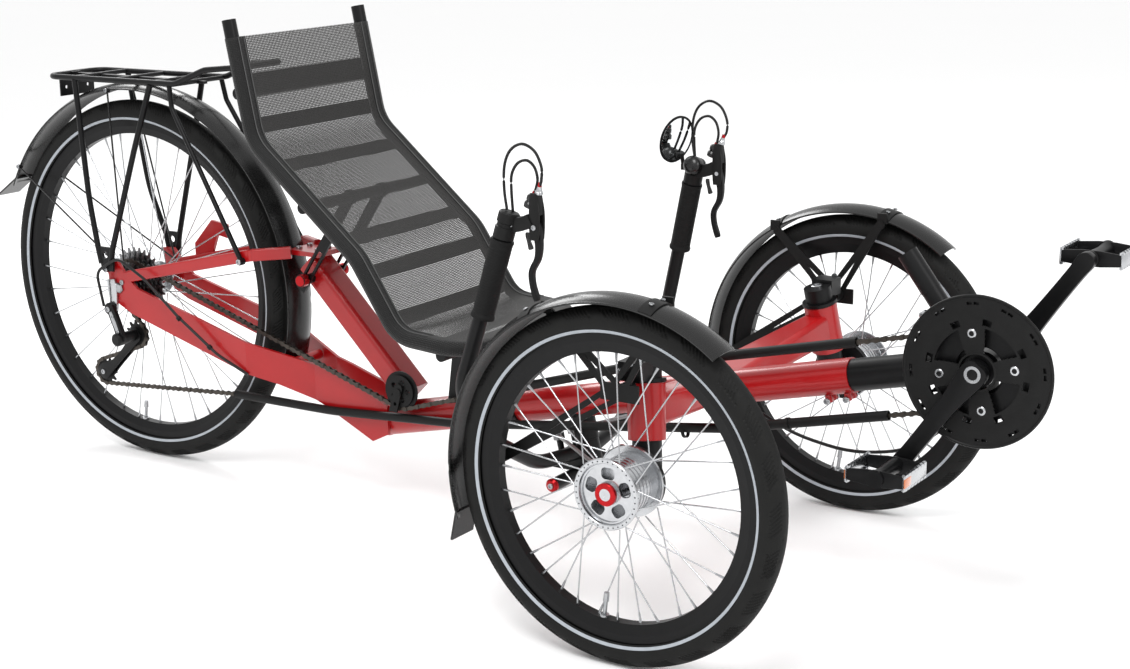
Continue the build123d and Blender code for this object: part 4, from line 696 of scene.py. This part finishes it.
def crank(name, side):
    """A forged crank arm with rounded edges, a boss at each end and a pinch bolt."""
    ring = local(CRANK_AXIS)
    angle = crank_angle(side)
    middle = []
    for share, half in ((-0.095, 8), (-0.07, 15), (0.0, 18.5), (0.12, 17), (0.3, 13.5), (0.6, 11.8),
                        (0.88, 11.5), (1.0, 12.5), (1.05, 9.5), (1.075, 4.0)):
        x, z = ring_point(ring, CRANK_LENGTH * share, angle)
        middle.append((x, z, half))
    y = side * (CRANK_INNER + 7)
    bm = bmesh.new()
    plate(bm, strip(smooth_line(middle, 4)), y, 13.6, 3.4)
    shoulder = at(ring[0], side * (CRANK_INNER + 2), ring[1])
    rod(bm, at(ring[0], side * (CRANK_INNER - 5), ring[1]), shoulder, 17, 16)
    if side > 0:
        rod(bm, at(ring[0], 36.4, ring[1]), shoulder, 15.5)
    else:
        rod(bm, at(ring[0], 57, ring[1]), at(ring[0], -60, ring[1]), 11.6)
    piece(bm, "crank_arm_" + name, "crankset", ANODISED, ["crank_" + name])
    bm = bmesh.new()
    out = ACROSS * side
    face = side * (CRANK_INNER + 13.8)
    cap = [(-1, 0), (-1, 12), (0.1, 11.5), (0.1, 7.5), (-0.5, 7), (-0.5, 0)]
    lathe(bm, at(ring[0], face, ring[1]), out, cap, steps=32, closed=False)
    end = ring_point(ring, CRANK_LENGTH, angle)
    eye = [(-1, 0), (-1, 7.2), (0.1, 6.6), (0.1, 3.4), (-1, 3), (-1, 0)]
    lathe(bm, at(end[0], face, end[1]), out, eye, steps=24, closed=False)
    piece(bm, "crank_caps_" + name, "crankset", STAINLESS)


GUARD_FACE = 61.0


def guard_opening(r, turn):
    """Whether the guard is pierced at a radius and an angle (degrees from the crank)."""
    arm = turn % 90 - 45
    if r < 60:
        return abs(arm) > 17 + (60 - r) * 0.25
    if 63 < r < 72:
        return 14 < abs(arm) < 24
    if 90 < r < 94:
        return abs(turn % 30 - 8) < 2.6 or abs(turn % 30 - 14) < 2.6
    return False


def chain_guard():
    """Pierced guard with four arms, a rolled rim, and the four bright ring bolts."""
    ring = local(CRANK_AXIS)
    base = crank_angle(-1)
    radii = [24, 30, 36, 42, 48, 54, 60, 63, 67.5, 72, 78, 84, 90, 94, 98, 101]
    steps = 240
    bm = bmesh.new()
    grid = []
    for r in radii:
        step_up = 0.0 if 60 <= r <= 72 else 0.9
        row = []
        for k in range(steps):
            x, z = ring_point(ring, r, base + 2 * pi * k / steps)
            row.append(bm.verts.new(at(x, -(GUARD_FACE - 1.4 + step_up), z)))
        grid.append(row)
    for low, high, a, b in zip(radii, radii[1:], grid, grid[1:]):
        for k in range(steps):
            if guard_opening((low + high) / 2, 360 * (k + 0.5) / steps):
                continue
            bm.faces.new((a[k], a[(k + 1) % steps], b[(k + 1) % steps], b[k]))
    bmesh.ops.delete(bm, geom=[vert for vert in bm.verts if not vert.link_faces], context="VERTS")
    bmesh.ops.recalc_face_normals(bm, faces=bm.faces)
    bmesh.ops.solidify(bm, geom=bm.faces[:], thickness=2.6 * MM)
    centre = at(ring[0], 0, ring[1])
    rim = [(GUARD_FACE - 3.4, 100), (GUARD_FACE - 3.6, 103.4), (GUARD_FACE - 1.6, 104),
           (GUARD_FACE + 0.4, 103), (GUARD_FACE + 0.6, 101), (GUARD_FACE - 0.6, 99.6)]
    lathe(bm, centre, -ACROSS, rim, steps=144)
    lip = [(GUARD_FACE - 3, 23.4), (GUARD_FACE - 3, 27), (GUARD_FACE - 0.4, 26.6), (GUARD_FACE, 24)]
    lathe(bm, centre, -ACROSS, lip, steps=64)
    piece(bm, "guard_plate", "crankset", NYLON, ["chainguard"])
    bm = bmesh.new()
    for number in range(4):
        x, z = ring_point(ring, 52, base + pi / 4 + number * pi / 2)
        lathe(bm, at(x, -(GUARD_FACE - 1.6), z), -ACROSS,
              [(0, 3.4), (0, 6.2), (2.0, 6.2), (2.6, 5.4), (2.6, 3.6)], steps=24)
    piece(bm, "ring_bolts", "crankset", POLISHED)


def front_derailleur():
    """Bright clamp on the post, its linkage and the curved cage over the chain."""
    ring = local(CRANK_AXIS)
    low = along(26, 10)
    post = (at(238, 0, 514) - low).normalized()
    middle = low + post * 70 * MM
    bm = bmesh.new()
    lathe(bm, middle, post, [(-9, 14.4), (-9, 19), (-7, 20), (7, 20), (9, 19), (9, 14.4)], steps=40)
    lug = middle - ACROSS * 22 * MM
    soften(bm, block(bm, lug, (22, 14, 18), 0.6), 3.0)
    soften(bm, block(bm, lug + Vector((-14, -6, -6)) * MM, (26, 12, 12), 0.9), 3.0)
    bolt(bm, lug + Vector((8, -6, 0)) * MM, -ACROSS, 4.2, 3.0)
    piece(bm, "derailleur_clamp", "boom", POLISHED, ["front_derailleur"])
    bm = bmesh.new()
    for y in (CHAIN_Y + 6.5, CHAIN_Y - 6.5):
        inner = [ring_point(ring, 62, radians(112 + 5 * k)) for k in range(9)]
        outer = [ring_point(ring, 78 + 8 * sin(pi * k / 8), radians(112 + 5 * k)) for k in range(9)]
        plate(bm, inner + outer[::-1], y, 1.4, 0.4)
    x, z = ring_point(ring, 79, radians(118))
    soften(bm, block(bm, at(x, CHAIN_Y, z), (4, 13.6, 5), 0.6), 1.0)
    x, z = ring_point(ring, 84, radians(134))
    soften(bm, block(bm, at(x, (CHAIN_Y - 20) / 2, z), (12, 28, 9), 0.6), 2.0)
    piece(bm, "derailleur_cage", "boom", NICKEL)


def pedal(name, side):
    """Cage pedal: turned barrel, two toothed cages, end plates and orange reflectors."""
    x, z = local(pivot("pedal_spin_" + name))
    inner = side * CRANK_INNER
    body = "pedal_" + name
    bm = bmesh.new()
    out = ACROSS * side
    root = at(x, inner, z)
    barrel = [(14.4, 0), (14.4, 6.6), (20, 6.8), (23, 11), (40, 10), (70, 9), (92, 10.5), (96, 12.5),
              (99.5, 12.5), (99.8, 9), (99.8, 0)]
    lathe(bm, root, out, barrel, steps=32, closed=False)
    piece(bm, "pedal_barrel_" + name, body, ANODISED, ["pedal_" + name])
    bm = bmesh.new()
    for end in (-1, 1):
        for height in (-9.5, 9.5):
            for tooth in range(7):
                y = inner + side * (30 + tooth * 10.5)
                edge = at(x + end * 40.3, y, z + height)
                rod(bm, edge - ACROSS * 3.4 * MM, edge + ACROSS * 3.4 * MM, 2.9, sides=6)
        verts = block(bm, at(x + end * 41.4, inner + side * 62, z), (2.4, 74, 21))
        soften(bm, verts, 0.8)
    piece(bm, "pedal_cage_" + name, body, POLISHED)
    bm = bmesh.new()
    for y in (28, 95):
        outline = [(x - 42, z - 8), (x - 42, z + 8), (x - 12, z + 11), (x + 12, z + 11), (x + 42, z + 8),
                   (x + 42, z - 8), (x + 12, z - 11), (x - 12, z - 11)]
        plate(bm, outline, inner + side * y, 3.2, 0.9)
    piece(bm, "pedal_sides_" + name, body, ANODISED)
    bm = bmesh.new()
    for end in (-1, 1):
        verts = block(bm, at(x + end * 41.7, inner + side * 88, z), (2.4, 22, 13))
        soften(bm, verts, 0.5)
    piece(bm, "pedal_reflectors_" + name, body, REFLECTOR)


# ---------------------------------------------------------------- controls
GRIP_TOP = (-242.0, 265.0, 531.0)
GRIP_LOW = (-271.2, 276.5, 420.0)


def grip(name, side):
    """Moulded rubber grip with rings and a flange at each end."""
    top = at(GRIP_TOP[0], side * GRIP_TOP[1], GRIP_TOP[2])
    low = at(GRIP_LOW[0], side * GRIP_LOW[1], GRIP_LOW[2])
    length = (top - low).length / MM
    outline = [(0, 15.4), (0, 16.8), (3, 17.4), (5, 16.6)]
    for k in range(26):
        a = 8 + k * (length - 18) / 26
        outline += [(a, 15.7), (a + 0.7, 16.0), (a + 2.4, 16.0), (a + 3.1, 15.7)]
    outline += [(length - 5, 16.2), (length - 3, 16.8), (length - 0.4, 16.4), (length - 0.4, 15.4)]
    bm = bmesh.new()
    lathe(bm, low, top - low, outline, steps=40)
    piece(bm, "grip_" + name, "handlebar", GRIP)


def control(name, side):
    """Bar clamp, lever perch with its pivot and adjuster, and the round shifter housing."""
    top = at(GRIP_TOP[0], side * GRIP_TOP[1], GRIP_TOP[2])
    low = at(GRIP_LOW[0], side * GRIP_LOW[1], GRIP_LOW[2])
    line = (top - low).normalized()
    bm = bmesh.new()
    clamp = [(0.6, 0), (0.6, 14), (2, 15), (18, 15), (19, 13.4), (24, 13.4), (25, 15), (38, 15),
             (40, 13), (40, 0)]
    lathe(bm, top, line, clamp, steps=40, closed=False)
    arm = strip(smooth_line([(-236, 552, 9), (-222, 553, 10), (-208, 556, 9.5), (-196, 562, 9)], 4))
    plate(bm, arm, side * 260, 16, 3.5)
    perch = [(-190, 534, 6.6), (-190, 550, 8), (-190, 572, 8), (-191, 590, 6), (-190, 598.6, 4)]
    shell = strip(smooth_line(perch, 4))
    for y in (251.6, 264.4):
        plate(bm, shell, side * y, 3.6, 1.3)
    crown = strip(smooth_line([(-190, 568, 7.6), (-190.5, 584, 6.8), (-190, 598.4, 4.4)], 4))
    plate(bm, crown, side * 258, 13, 2.4)
    piece(bm, "control_body_" + name, "handlebar", NYLON, ["control_" + name])
    bm = bmesh.new()
    spindle = at(-190, side * 249.2, 552)
    rod(bm, spindle, at(-190, side * 266.8, 552), 3.2, sides=20)
    bolt(bm, at(-190, side * 266.2, 552), ACROSS * side, 3.8, 1.6)
    bolt(bm, at(-226, side * 268, 553), ACROSS * side, 3.4, 2.0)
    tip = at(-190, side * 258, 594)
    lathe(bm, tip, Vector((0, 0, 1)), [(0, 3.6), (2.4, 3.9), (4.6, 3.4), (4.6, 0), (0, 0)], steps=20)
    piece(bm, "control_bolts_" + name, "handlebar", STAINLESS)
    if side > 0:
        bm = bmesh.new()
        foot, end = at(-232, 257, 560), at(-232, 238, 566)
        dome = [(0, 0), (0, 15), (12, 15), (15, 14), (18.5, 10), (19.8, 5), (20, 0)]
        lathe(bm, foot, end - foot, dome, steps=40, closed=False)
        piece(bm, "shifter_dome", "handlebar", MOULDED)


def brake_lever(name, side):
    """Curved two-finger blade that hangs from the perch's pin."""
    x, z = local(pivot("brake_squeeze_" + name))
    middle = [(x, z + 5, 4.5), (x + 1, z - 4, 6.0), (x + 3.5, z - 26, 4.8), (x + 1, z - 44, 4.0),
              (x - 8.5, z - 62, 3.6), (x - 8, z - 80, 3.4), (x - 2.5, z - 98, 3.6), (x - 1, z - 103, 2.4)]
    bm = bmesh.new()
    plate(bm, strip(smooth_line(middle, 5)), side * 258, 8.4, 1.8)
    lever = "brake_lever_" + name
    piece(bm, "brake_blade_" + name, lever, ANODISED, [lever])


def thumb_lever(name, side):
    """Small paddle under the control."""
    x, z = local(pivot("shift_push_" + name))
    middle = [(x, z + 2.4, 2.2), (x, z - 2, 2.6), (x + 2, z - 10, 2.2), (x + 5, z - 19, 3.2),
              (x + 5.6, z - 21, 1.6)]
    bm = bmesh.new()
    plate(bm, strip(smooth_line(middle, 4)), side * 254, 4.4, 1.0)
    lever = "shift_lever_" + name
    piece(bm, "thumb_paddle_" + name, lever, MOULDED, [lever])


def mirror():
    """Dished housing with silvered glass, on a bent stalk."""
    low, high = at(-262, 236, 606), at(-252, 234, 604)
    axis = (high - low).normalized()
    bm = bmesh.new()
    outline = [(10.1, 38), (10.1, 35.5), (8.6, 35.2), (8.6, 0), (0.2, 0), (0.4, 22), (3, 33), (7, 37.6)]
    lathe(bm, low, axis, outline, steps=64, closed=False)
    foot = pivot("mirror_turn")
    rod(bm, foot, foot + Vector((0, 0, 9 * MM)), 4)
    stalk = [foot + Vector((0, 0, 6)) * MM, foot + Vector((0, -4, 22)) * MM,
             at(-258, 247, 588), at(-259, 241, 598)]
    wire(bm, stalk, 3.2)
    piece(bm, "mirror_housing", "mirror", NYLON, ["mirror"])
    bm = bmesh.new()
    lathe(bm, low, axis, [(8.7, 0), (8.7, 35), (9.4, 34.4), (9.8, 0)], steps=64, closed=False)
    piece(bm, "mirror_face", "mirror", GLASS)


def bar_loops():
    """Brake and shift housings that loop over the bar ends, with their barrels and ferrules."""
    bm = bmesh.new()
    for side in SIDES.values():
        y = side * 262
        brake = [(-236, y, 572), (-240, y, 600), (-239, y, 632), (-229, y, 654), (-210, y, 664),
                 (-190, y, 656), (-179, y, 636), (-179, y, 618), (-183.5, side * 259.5, 608)]
        y = side * 255
        shift = [(-231, y, 568), (-233, y, 598), (-232, y, 620), (-222, y, 636), (-207, y, 641),
                 (-195, y, 633), (-190, y, 618), (-192, side * 256, 604), (-197, side * 257, 592)]
        for route in (brake, shift):
            wire(bm, [at(*point) for point in smooth_line(route, 6)], 2.1)
    piece(bm, "bar_loops", "handlebar", HOUSING, ["bar_cables"])
    bm = bmesh.new()
    for side in SIDES.values():
        low, high = at(-186.5, side * 258, 598), at(-183.8, side * 259.3, 608)
        barrel = [(0, 0), (0, 6), (3, 5.6), (4, 4.6), (8, 3.6), (10.5, 3.2), (10.5, 0)]
        lathe(bm, low, high - low, barrel, steps=20, closed=False)
    piece(bm, "brake_barrels", "handlebar", POLISHED)
    bm = bmesh.new()
    for side in SIDES.values():
        low, high = at(-184.0, side * 259.2, 607.5), at(-182.6, side * 259.8, 613)
        rod(bm, low, high, 3.0, 2.7, sides=16)
        low, high = at(-195.5, side * 256.6, 596), at(-194, side * 256.4, 600)
        rod(bm, low, high, 2.9, 2.7, sides=16)
    piece(bm, "red_ferrules", "handlebar", RED_ANODISED)
    bm = bmesh.new()
    for side in SIDES.values():
        low, high = at(-203, side * 257, 578), at(-196, side * 256.8, 596)
        barrel = [(0, 0), (0, 8), (6, 8.4), (9, 6.2), (11, 7.4), (17, 7.4), (19, 5), (19, 0)]
        lathe(bm, low, high - low, barrel, steps=16, closed=False)
    piece(bm, "shift_barrels", "handlebar", MOULDED)


# ---------------------------------------------------------------- derailleurs
def rear_derailleur():
    """Hanger, knuckles and the sloping parallelogram above the cage."""
    guide = local(pivot("jockey_upper_spin"))
    y = -75.0
    bm = bmesh.new()
    hanger = [(-1207, 334, 9), (-1205, 318, 11), (-1204, 298, 9), (-1206, 280, 9.5), (-1207, 270, 6)]
    plate(bm, strip(smooth_line(hanger, 4)), y, 5, 1.0)
    piece(bm, "hanger_plate", "frame", POLISHED)
    bm = bmesh.new()
    out = -ACROSS
    upper_knuckle = [(-2, 0), (-2, 10), (2, 11), (9, 11), (12, 8.5), (12, 0)]
    lathe(bm, at(-1208, y, 282), out, upper_knuckle, steps=32, closed=False)
    outer_arm = [(-1206, 288, 8), (-1200, 274, 9), (-1192, 254, 8), (-1184, 234, 8.5), (-1182, 226, 6)]
    plate(bm, strip(smooth_line(outer_arm, 5)), y - 8.5, 6.5, 2.0)
    inner_arm = [(-1204, 280, 6), (-1196, 262, 6.5), (-1186, 238, 6)]
    plate(bm, strip(smooth_line(inner_arm, 5)), y - 2.5, 4, 1.2)
    lower_knuckle = [(0, 0), (0, 9), (6, 10.5), (20, 10.5), (34, 11.5), (43, 11.5), (46, 8), (46, 0)]
    lathe(bm, at(guide[0], CHAIN_Y - 8.6, guide[1]), out, lower_knuckle, steps=32, closed=False)
    piece(bm, "derailleur_body", "frame", POWDER_COAT, ["rear_derailleur"])
    bm = bmesh.new()
    heads = ((-1208, 282, 12, 5), (guide[0], guide[1], 11.5, 5), (-1198, 270, 12, 3.2), (-1187, 244, 12, 3.2))
    for x, z, depth, r in heads:
        bolt(bm, at(x, y - depth + 0.4, z), out, r, 2.4)
    link_face = [(-1203, 278, 3.4), (-1196, 262, 4.2), (-1189, 246, 3.6)]
    plate(bm, strip(smooth_line(link_face, 4)), y - 12.1, 1.0, 0.3)
    piece(bm, "derailleur_bolts", "frame", STAINLESS)


def jockey_trim():
    """Bright screws of the two pulleys and the cage's outer plate."""
    upper, lower = local(pivot("jockey_upper_spin")), local(pivot("jockey_lower_spin"))
    bm = bmesh.new()
    for x, z in (upper, lower):
        bolt(bm, at(x, CHAIN_Y - 7.8, z), -ACROSS, 4.6, 2.4)
        bolt(bm, at(x, CHAIN_Y + 7.8, z), ACROSS, 4.6, 2.4)
    piece(bm, "jockey_screws", "jockey_cage", STAINLESS)
    bm = bmesh.new()
    dx, dz = lower[0] - upper[0], lower[1] - upper[1]
    bow = Vector((-dz, dx)).normalized() * 5
    middle = [(upper[0] + dx * share + bow.x * bowed, upper[1] + dz * share + bow.y * bowed, half)
              for share, bowed, half in ((-0.1, 0, 8), (0, 0, 14.2), (0.3, 1, 7.5), (0.7, 1, 7.5),
                                         (1, 0, 14.2), (1.1, 0, 8))]
    for y in (CHAIN_Y - 7, CHAIN_Y + 7):
        plate(bm, strip(smooth_line(middle, 5)), y, 1.8, 0.5)
    for x, z in (upper, lower):
        rod(bm, at(x, CHAIN_Y - 7, z), at(x, CHAIN_Y + 7, z), 2.9, sides=16)
    piece(bm, "cage_plates", "jockey_cage", POWDER_COAT, ["jockey_cage"])


# ---------------------------------------------------------------- frame details
def frame_trim():
    """Bolts, caps, clips and ties on the frame."""
    bm = bmesh.new()
    for back in (217, 247):
        bolt(bm, along(back, -31, -14), -ACROSS, 4.6, 4)
        bolt(bm, along(back, -31, 14), ACROSS, 4.6, 4)
    for x in (-828, -788):
        for y in (-14, 14):
            bolt(bm, at(x, y, 415), Vector((0, 0, 1)), 4.8, 4.5)
    for side in SIDES.values():
        for x, z in ((-1206, 352), (-1184, 330)):
            bolt(bm, at(x, side * 72, z), ACROSS * side, 4.4, 2.6)
        bolt(bm, at(-1209, side * 84, 352), ACROSS * side, 5, 3)
        bolt(bm, at(-897, side * 84.8, 398), ACROSS * side, 5, 3)
        axle_nut = [(0.4, 0), (0.4, 9.5), (3, 9.5), (5, 7.5), (5, 0)]
        lathe(bm, at(-1191, side * 72, 319.5), ACROSS * side, axle_nut, steps=6, closed=False)
    slope = Vector((-0.7, 0, -0.7))
    lathe(bm, at(-757, 0, 306), slope, [(-2, 3.2), (-2, 6.2), (0.8, 6.2), (0.8, 3.2)], steps=24)
    piece(bm, "frame_bolts", "frame", STAINLESS)
    bm = bmesh.new()
    tie = [(-3, 2.6), (-3, 4.2), (3, 4.2), (3, 2.6)]
    for spot in (at(-1036, -90, 287), at(-975, -83.5, 243)):
        lathe(bm, spot, Vector((0.8, 0, -0.6)), tie, steps=20)
    for back, drop in ((300, -53), (470, -53)):
        lathe(bm, along(back, drop, CHAIN_Y), BEAM, [(-2.5, 7.3), (-2.5, 9), (2.5, 9), (2.5, 7.3)], steps=24)
    piece(bm, "clips_and_ties", "frame", NYLON)
    bm = bmesh.new()
    knob = [(-13, 9.9), (-12, 10.6), (-2, 10.6), (0.6, 8.6), (0.6, 0), (-13, 0)]
    for side in SIDES.values():
        lathe(bm, at(-791.9, side * 57, 372.0), ACROSS * side, knob, steps=14)
    piece(bm, "recline_knobs", "frame", RED_ANODISED)


def weld(bm, centre, axis, r, width=3.0, ripples=60):
    """A rippled fillet weld round a tube."""
    axis = axis.normalized()
    side = axis.orthogonal().normalized()
    rings = []
    for number in range(ripples * 3):
        angle = 2 * pi * number / (ripples * 3)
        out = Matrix.Rotation(angle, 3, axis) @ side
        swell = 0.35 * (number % 3 == 0)
        ring = []
        for k in range(5):
            a = pi * k / 4
            height = r + (width * 0.45 + swell) * sin(a)
            ring.append(bm.verts.new(centre + out * height * MM - axis * width * cos(a) * MM))
        rings.append(ring)
    for a, b in zip(rings, rings[1:] + rings[:1]):
        for k in range(4):
            bm.faces.new((a[k], a[k + 1], b[k + 1], b[k]))
        bm.faces.new((a[4], a[0], b[0], b[4]))


def welds():
    """The weld bead round the main beam."""
    bm = bmesh.new()
    weld(bm, along(1056 - 1.5), BEAM, 26.6)
    piece(bm, "frame_welds", "frame", RED_ENAMEL)


def steering_trim():
    """Bright bolts on the top clamps and the red end plugs of the cross tube."""
    for name, side in SIDES.items():
        bm = bmesh.new()
        axis = Vector(JOINTS["kingpin_" + name]["axis"])
        if axis.z < 0:
            axis = -axis
        centre = pivot("kingpin_" + name) + axis * 66 * MM
        bolt(bm, centre, axis, 9, 4)
        bolt(bm, at(-12, side * 308.6, 396), ACROSS * side, 4.4, 3)
        bolt(bm, at(-28, side * 308.6, 384), ACROSS * side, 4.4, 3)
        piece(bm, "clamp_bolts_" + name, "knuckle_" + name, STAINLESS)
        bm = bmesh.new()
        plug = [(0, 0), (0, 10.6), (3, 10.6), (6, 8), (6, 0)]
        lathe(bm, at(-275, side * 99.4, 124), ACROSS * side, plug, steps=28, closed=False)
        piece(bm, "red_plug_" + name, "handlebar", RED_ANODISED)
        bm = bmesh.new()
        bolt(bm, at(-275, side * 105, 124), ACROSS * side, 4.6, 3)
        piece(bm, "plug_bolt_" + name, "handlebar", STAINLESS)


FENDER_EDGE = 28.4          # from the middle of a fender to its rolled edge


def spoke_way(degrees):
    """The direction from a wheel's centre at this angle, from the front upwards."""
    return Vector((cos(radians(degrees)), 0, sin(radians(degrees))))


def rolled_edges(bm, centre, r, start, sweep, steps):
    """A round wire along both edges of a fender."""
    for edge in (-1, 1):
        ways = [spoke_way(start + sweep * k / steps) for k in range(steps + 1)]
        wire(bm, [centre + way * r * MM + ACROSS * edge * FENDER_EDGE * MM for way in ways], 1.3, sides=8)


def fender_trim():
    """Rolled edges and screws of the fenders."""
    for name in SIDES:
        centre = pivot("front_wheel_spin_" + name)
        bm = bmesh.new()
        rolled_edges(bm, centre, 250.6, 52, 146, 48)
        piece(bm, "fender_edge_" + name, "knuckle_" + name, MOULDED)
        bm = bmesh.new()
        for way in (spoke_way(77), spoke_way(120)):
            for y in (-14, 14):
                bolt(bm, centre + way * 261.0 * MM + ACROSS * y * MM, way, 3.4, 1.6)
        piece(bm, "fender_screws_" + name, "knuckle_" + name, STAINLESS)
    centre = pivot("rear_wheel_spin") + Vector((6 * MM, 0, 0))
    bm = bmesh.new()
    rolled_edges(bm, centre, 340.6, -18, 172, 72)
    piece(bm, "fender_edge_rear", "frame", MOULDED)
    bm = bmesh.new()
    for side in (-1, 1):
        for way in (spoke_way(147), spoke_way(98)):
            spot = centre + way * 338 * MM + ACROSS * side * 34 * MM
            bolt(bm, spot + Vector((0, 0, 2 * MM)), ACROSS * side, 3.6, 2.4)
    piece(bm, "fender_screws_rear", "frame", STAINLESS)


# ---------------------------------------------------------------- studio
def studio():
    """Pale floor, white surroundings, three soft lights and the camera."""
    bm = bmesh.new()
    bmesh.ops.create_grid(bm, x_segments=1, y_segments=1, size=14.0)
    mesh = bpy.data.meshes.new("floor")
    bm.to_mesh(mesh)
    bm.free()
    floor = bpy.data.objects.new("floor", mesh)
    bpy.context.scene.collection.objects.link(floor)
    mesh.materials.append(surface("studio_floor", "#FBFBFB", "#FAFAFA", (0.75, 0.85), 30.0, 0.01))
    world = bpy.data.worlds.new("studio")
    bpy.context.scene.world = world
    world.use_nodes = True
    world.node_tree.nodes["Background"].inputs["Color"].default_value = (1.0, 1.0, 1.0, 1.0)
    world.node_tree.nodes["Background"].inputs["Strength"].default_value = 1.0
    middle = (cad_low + cad_high) / 2
    for name, offset, size, power in (("key", (0.8, -2.2, 3.2), 1.6, 85),
                                      ("rim", (-2.6, 1.8, 2.4), 1.4, 55),
                                      ("fill", (3.0, -0.6, 1.4), 1.2, 18)):
        lamp = bpy.data.lights.new(name, "AREA")
        lamp.energy, lamp.size = power, size
        holder = bpy.data.objects.new(name, lamp)
        bpy.context.scene.collection.objects.link(holder)
        holder.location = middle + Vector(offset)
        holder.rotation_euler = (-Vector(offset)).to_track_quat("-Z", "Y").to_euler()
    azimuth, height, roll, distance = radians(33.07), radians(14.03), radians(-0.70), 2.91345
    back = Vector((sin(azimuth) * cos(height), -cos(azimuth) * cos(height), sin(height)))
    right = Vector((cos(azimuth), sin(azimuth), 0))
    up = back.cross(right)
    rolled_right = right * cos(roll) + up * sin(roll)
    rolled_up = up * cos(roll) - right * sin(roll)
    lens = bpy.data.cameras.new("camera")
    lens.sensor_width, lens.lens = 36.0, 60.82
    camera = bpy.data.objects.new("camera", lens)
    bpy.context.scene.collection.objects.link(camera)
    turn = Matrix((rolled_right, rolled_up, back)).transposed().to_4x4()
    camera.matrix_world = Matrix.Translation(at(-314.88, 0, 330.31) + back * distance) @ turn
    bpy.context.scene.camera = camera
    bpy.context.scene.view_settings.view_transform = "Standard"


finish_nodes()
for wheel, spin, carrier, depth in (("right", "front_wheel_spin_right", "front_wheel_right", 25.0),
                                    ("left", "front_wheel_spin_left", "front_wheel_left", 25.0),
                                    ("rear", "rear_wheel_spin", "rear_wheel", 23.0)):
    tyre(wheel, spin, carrier)
    wheel_trim(wheel, spin, carrier, depth, wheel != "rear")
seat_sling()
seat_trim()
chains()
for hand, sign in SIDES.items():
    crank(hand, sign)
    pedal(hand, sign)
    grip(hand, sign)
    control(hand, sign)
    brake_lever(hand, sign)
    thumb_lever(hand, sign)
mirror()
bar_loops()
chain_guard()
front_derailleur()
rear_derailleur()
jockey_trim()
frame_trim()
welds()
steering_trim()
fender_trim()
studio()
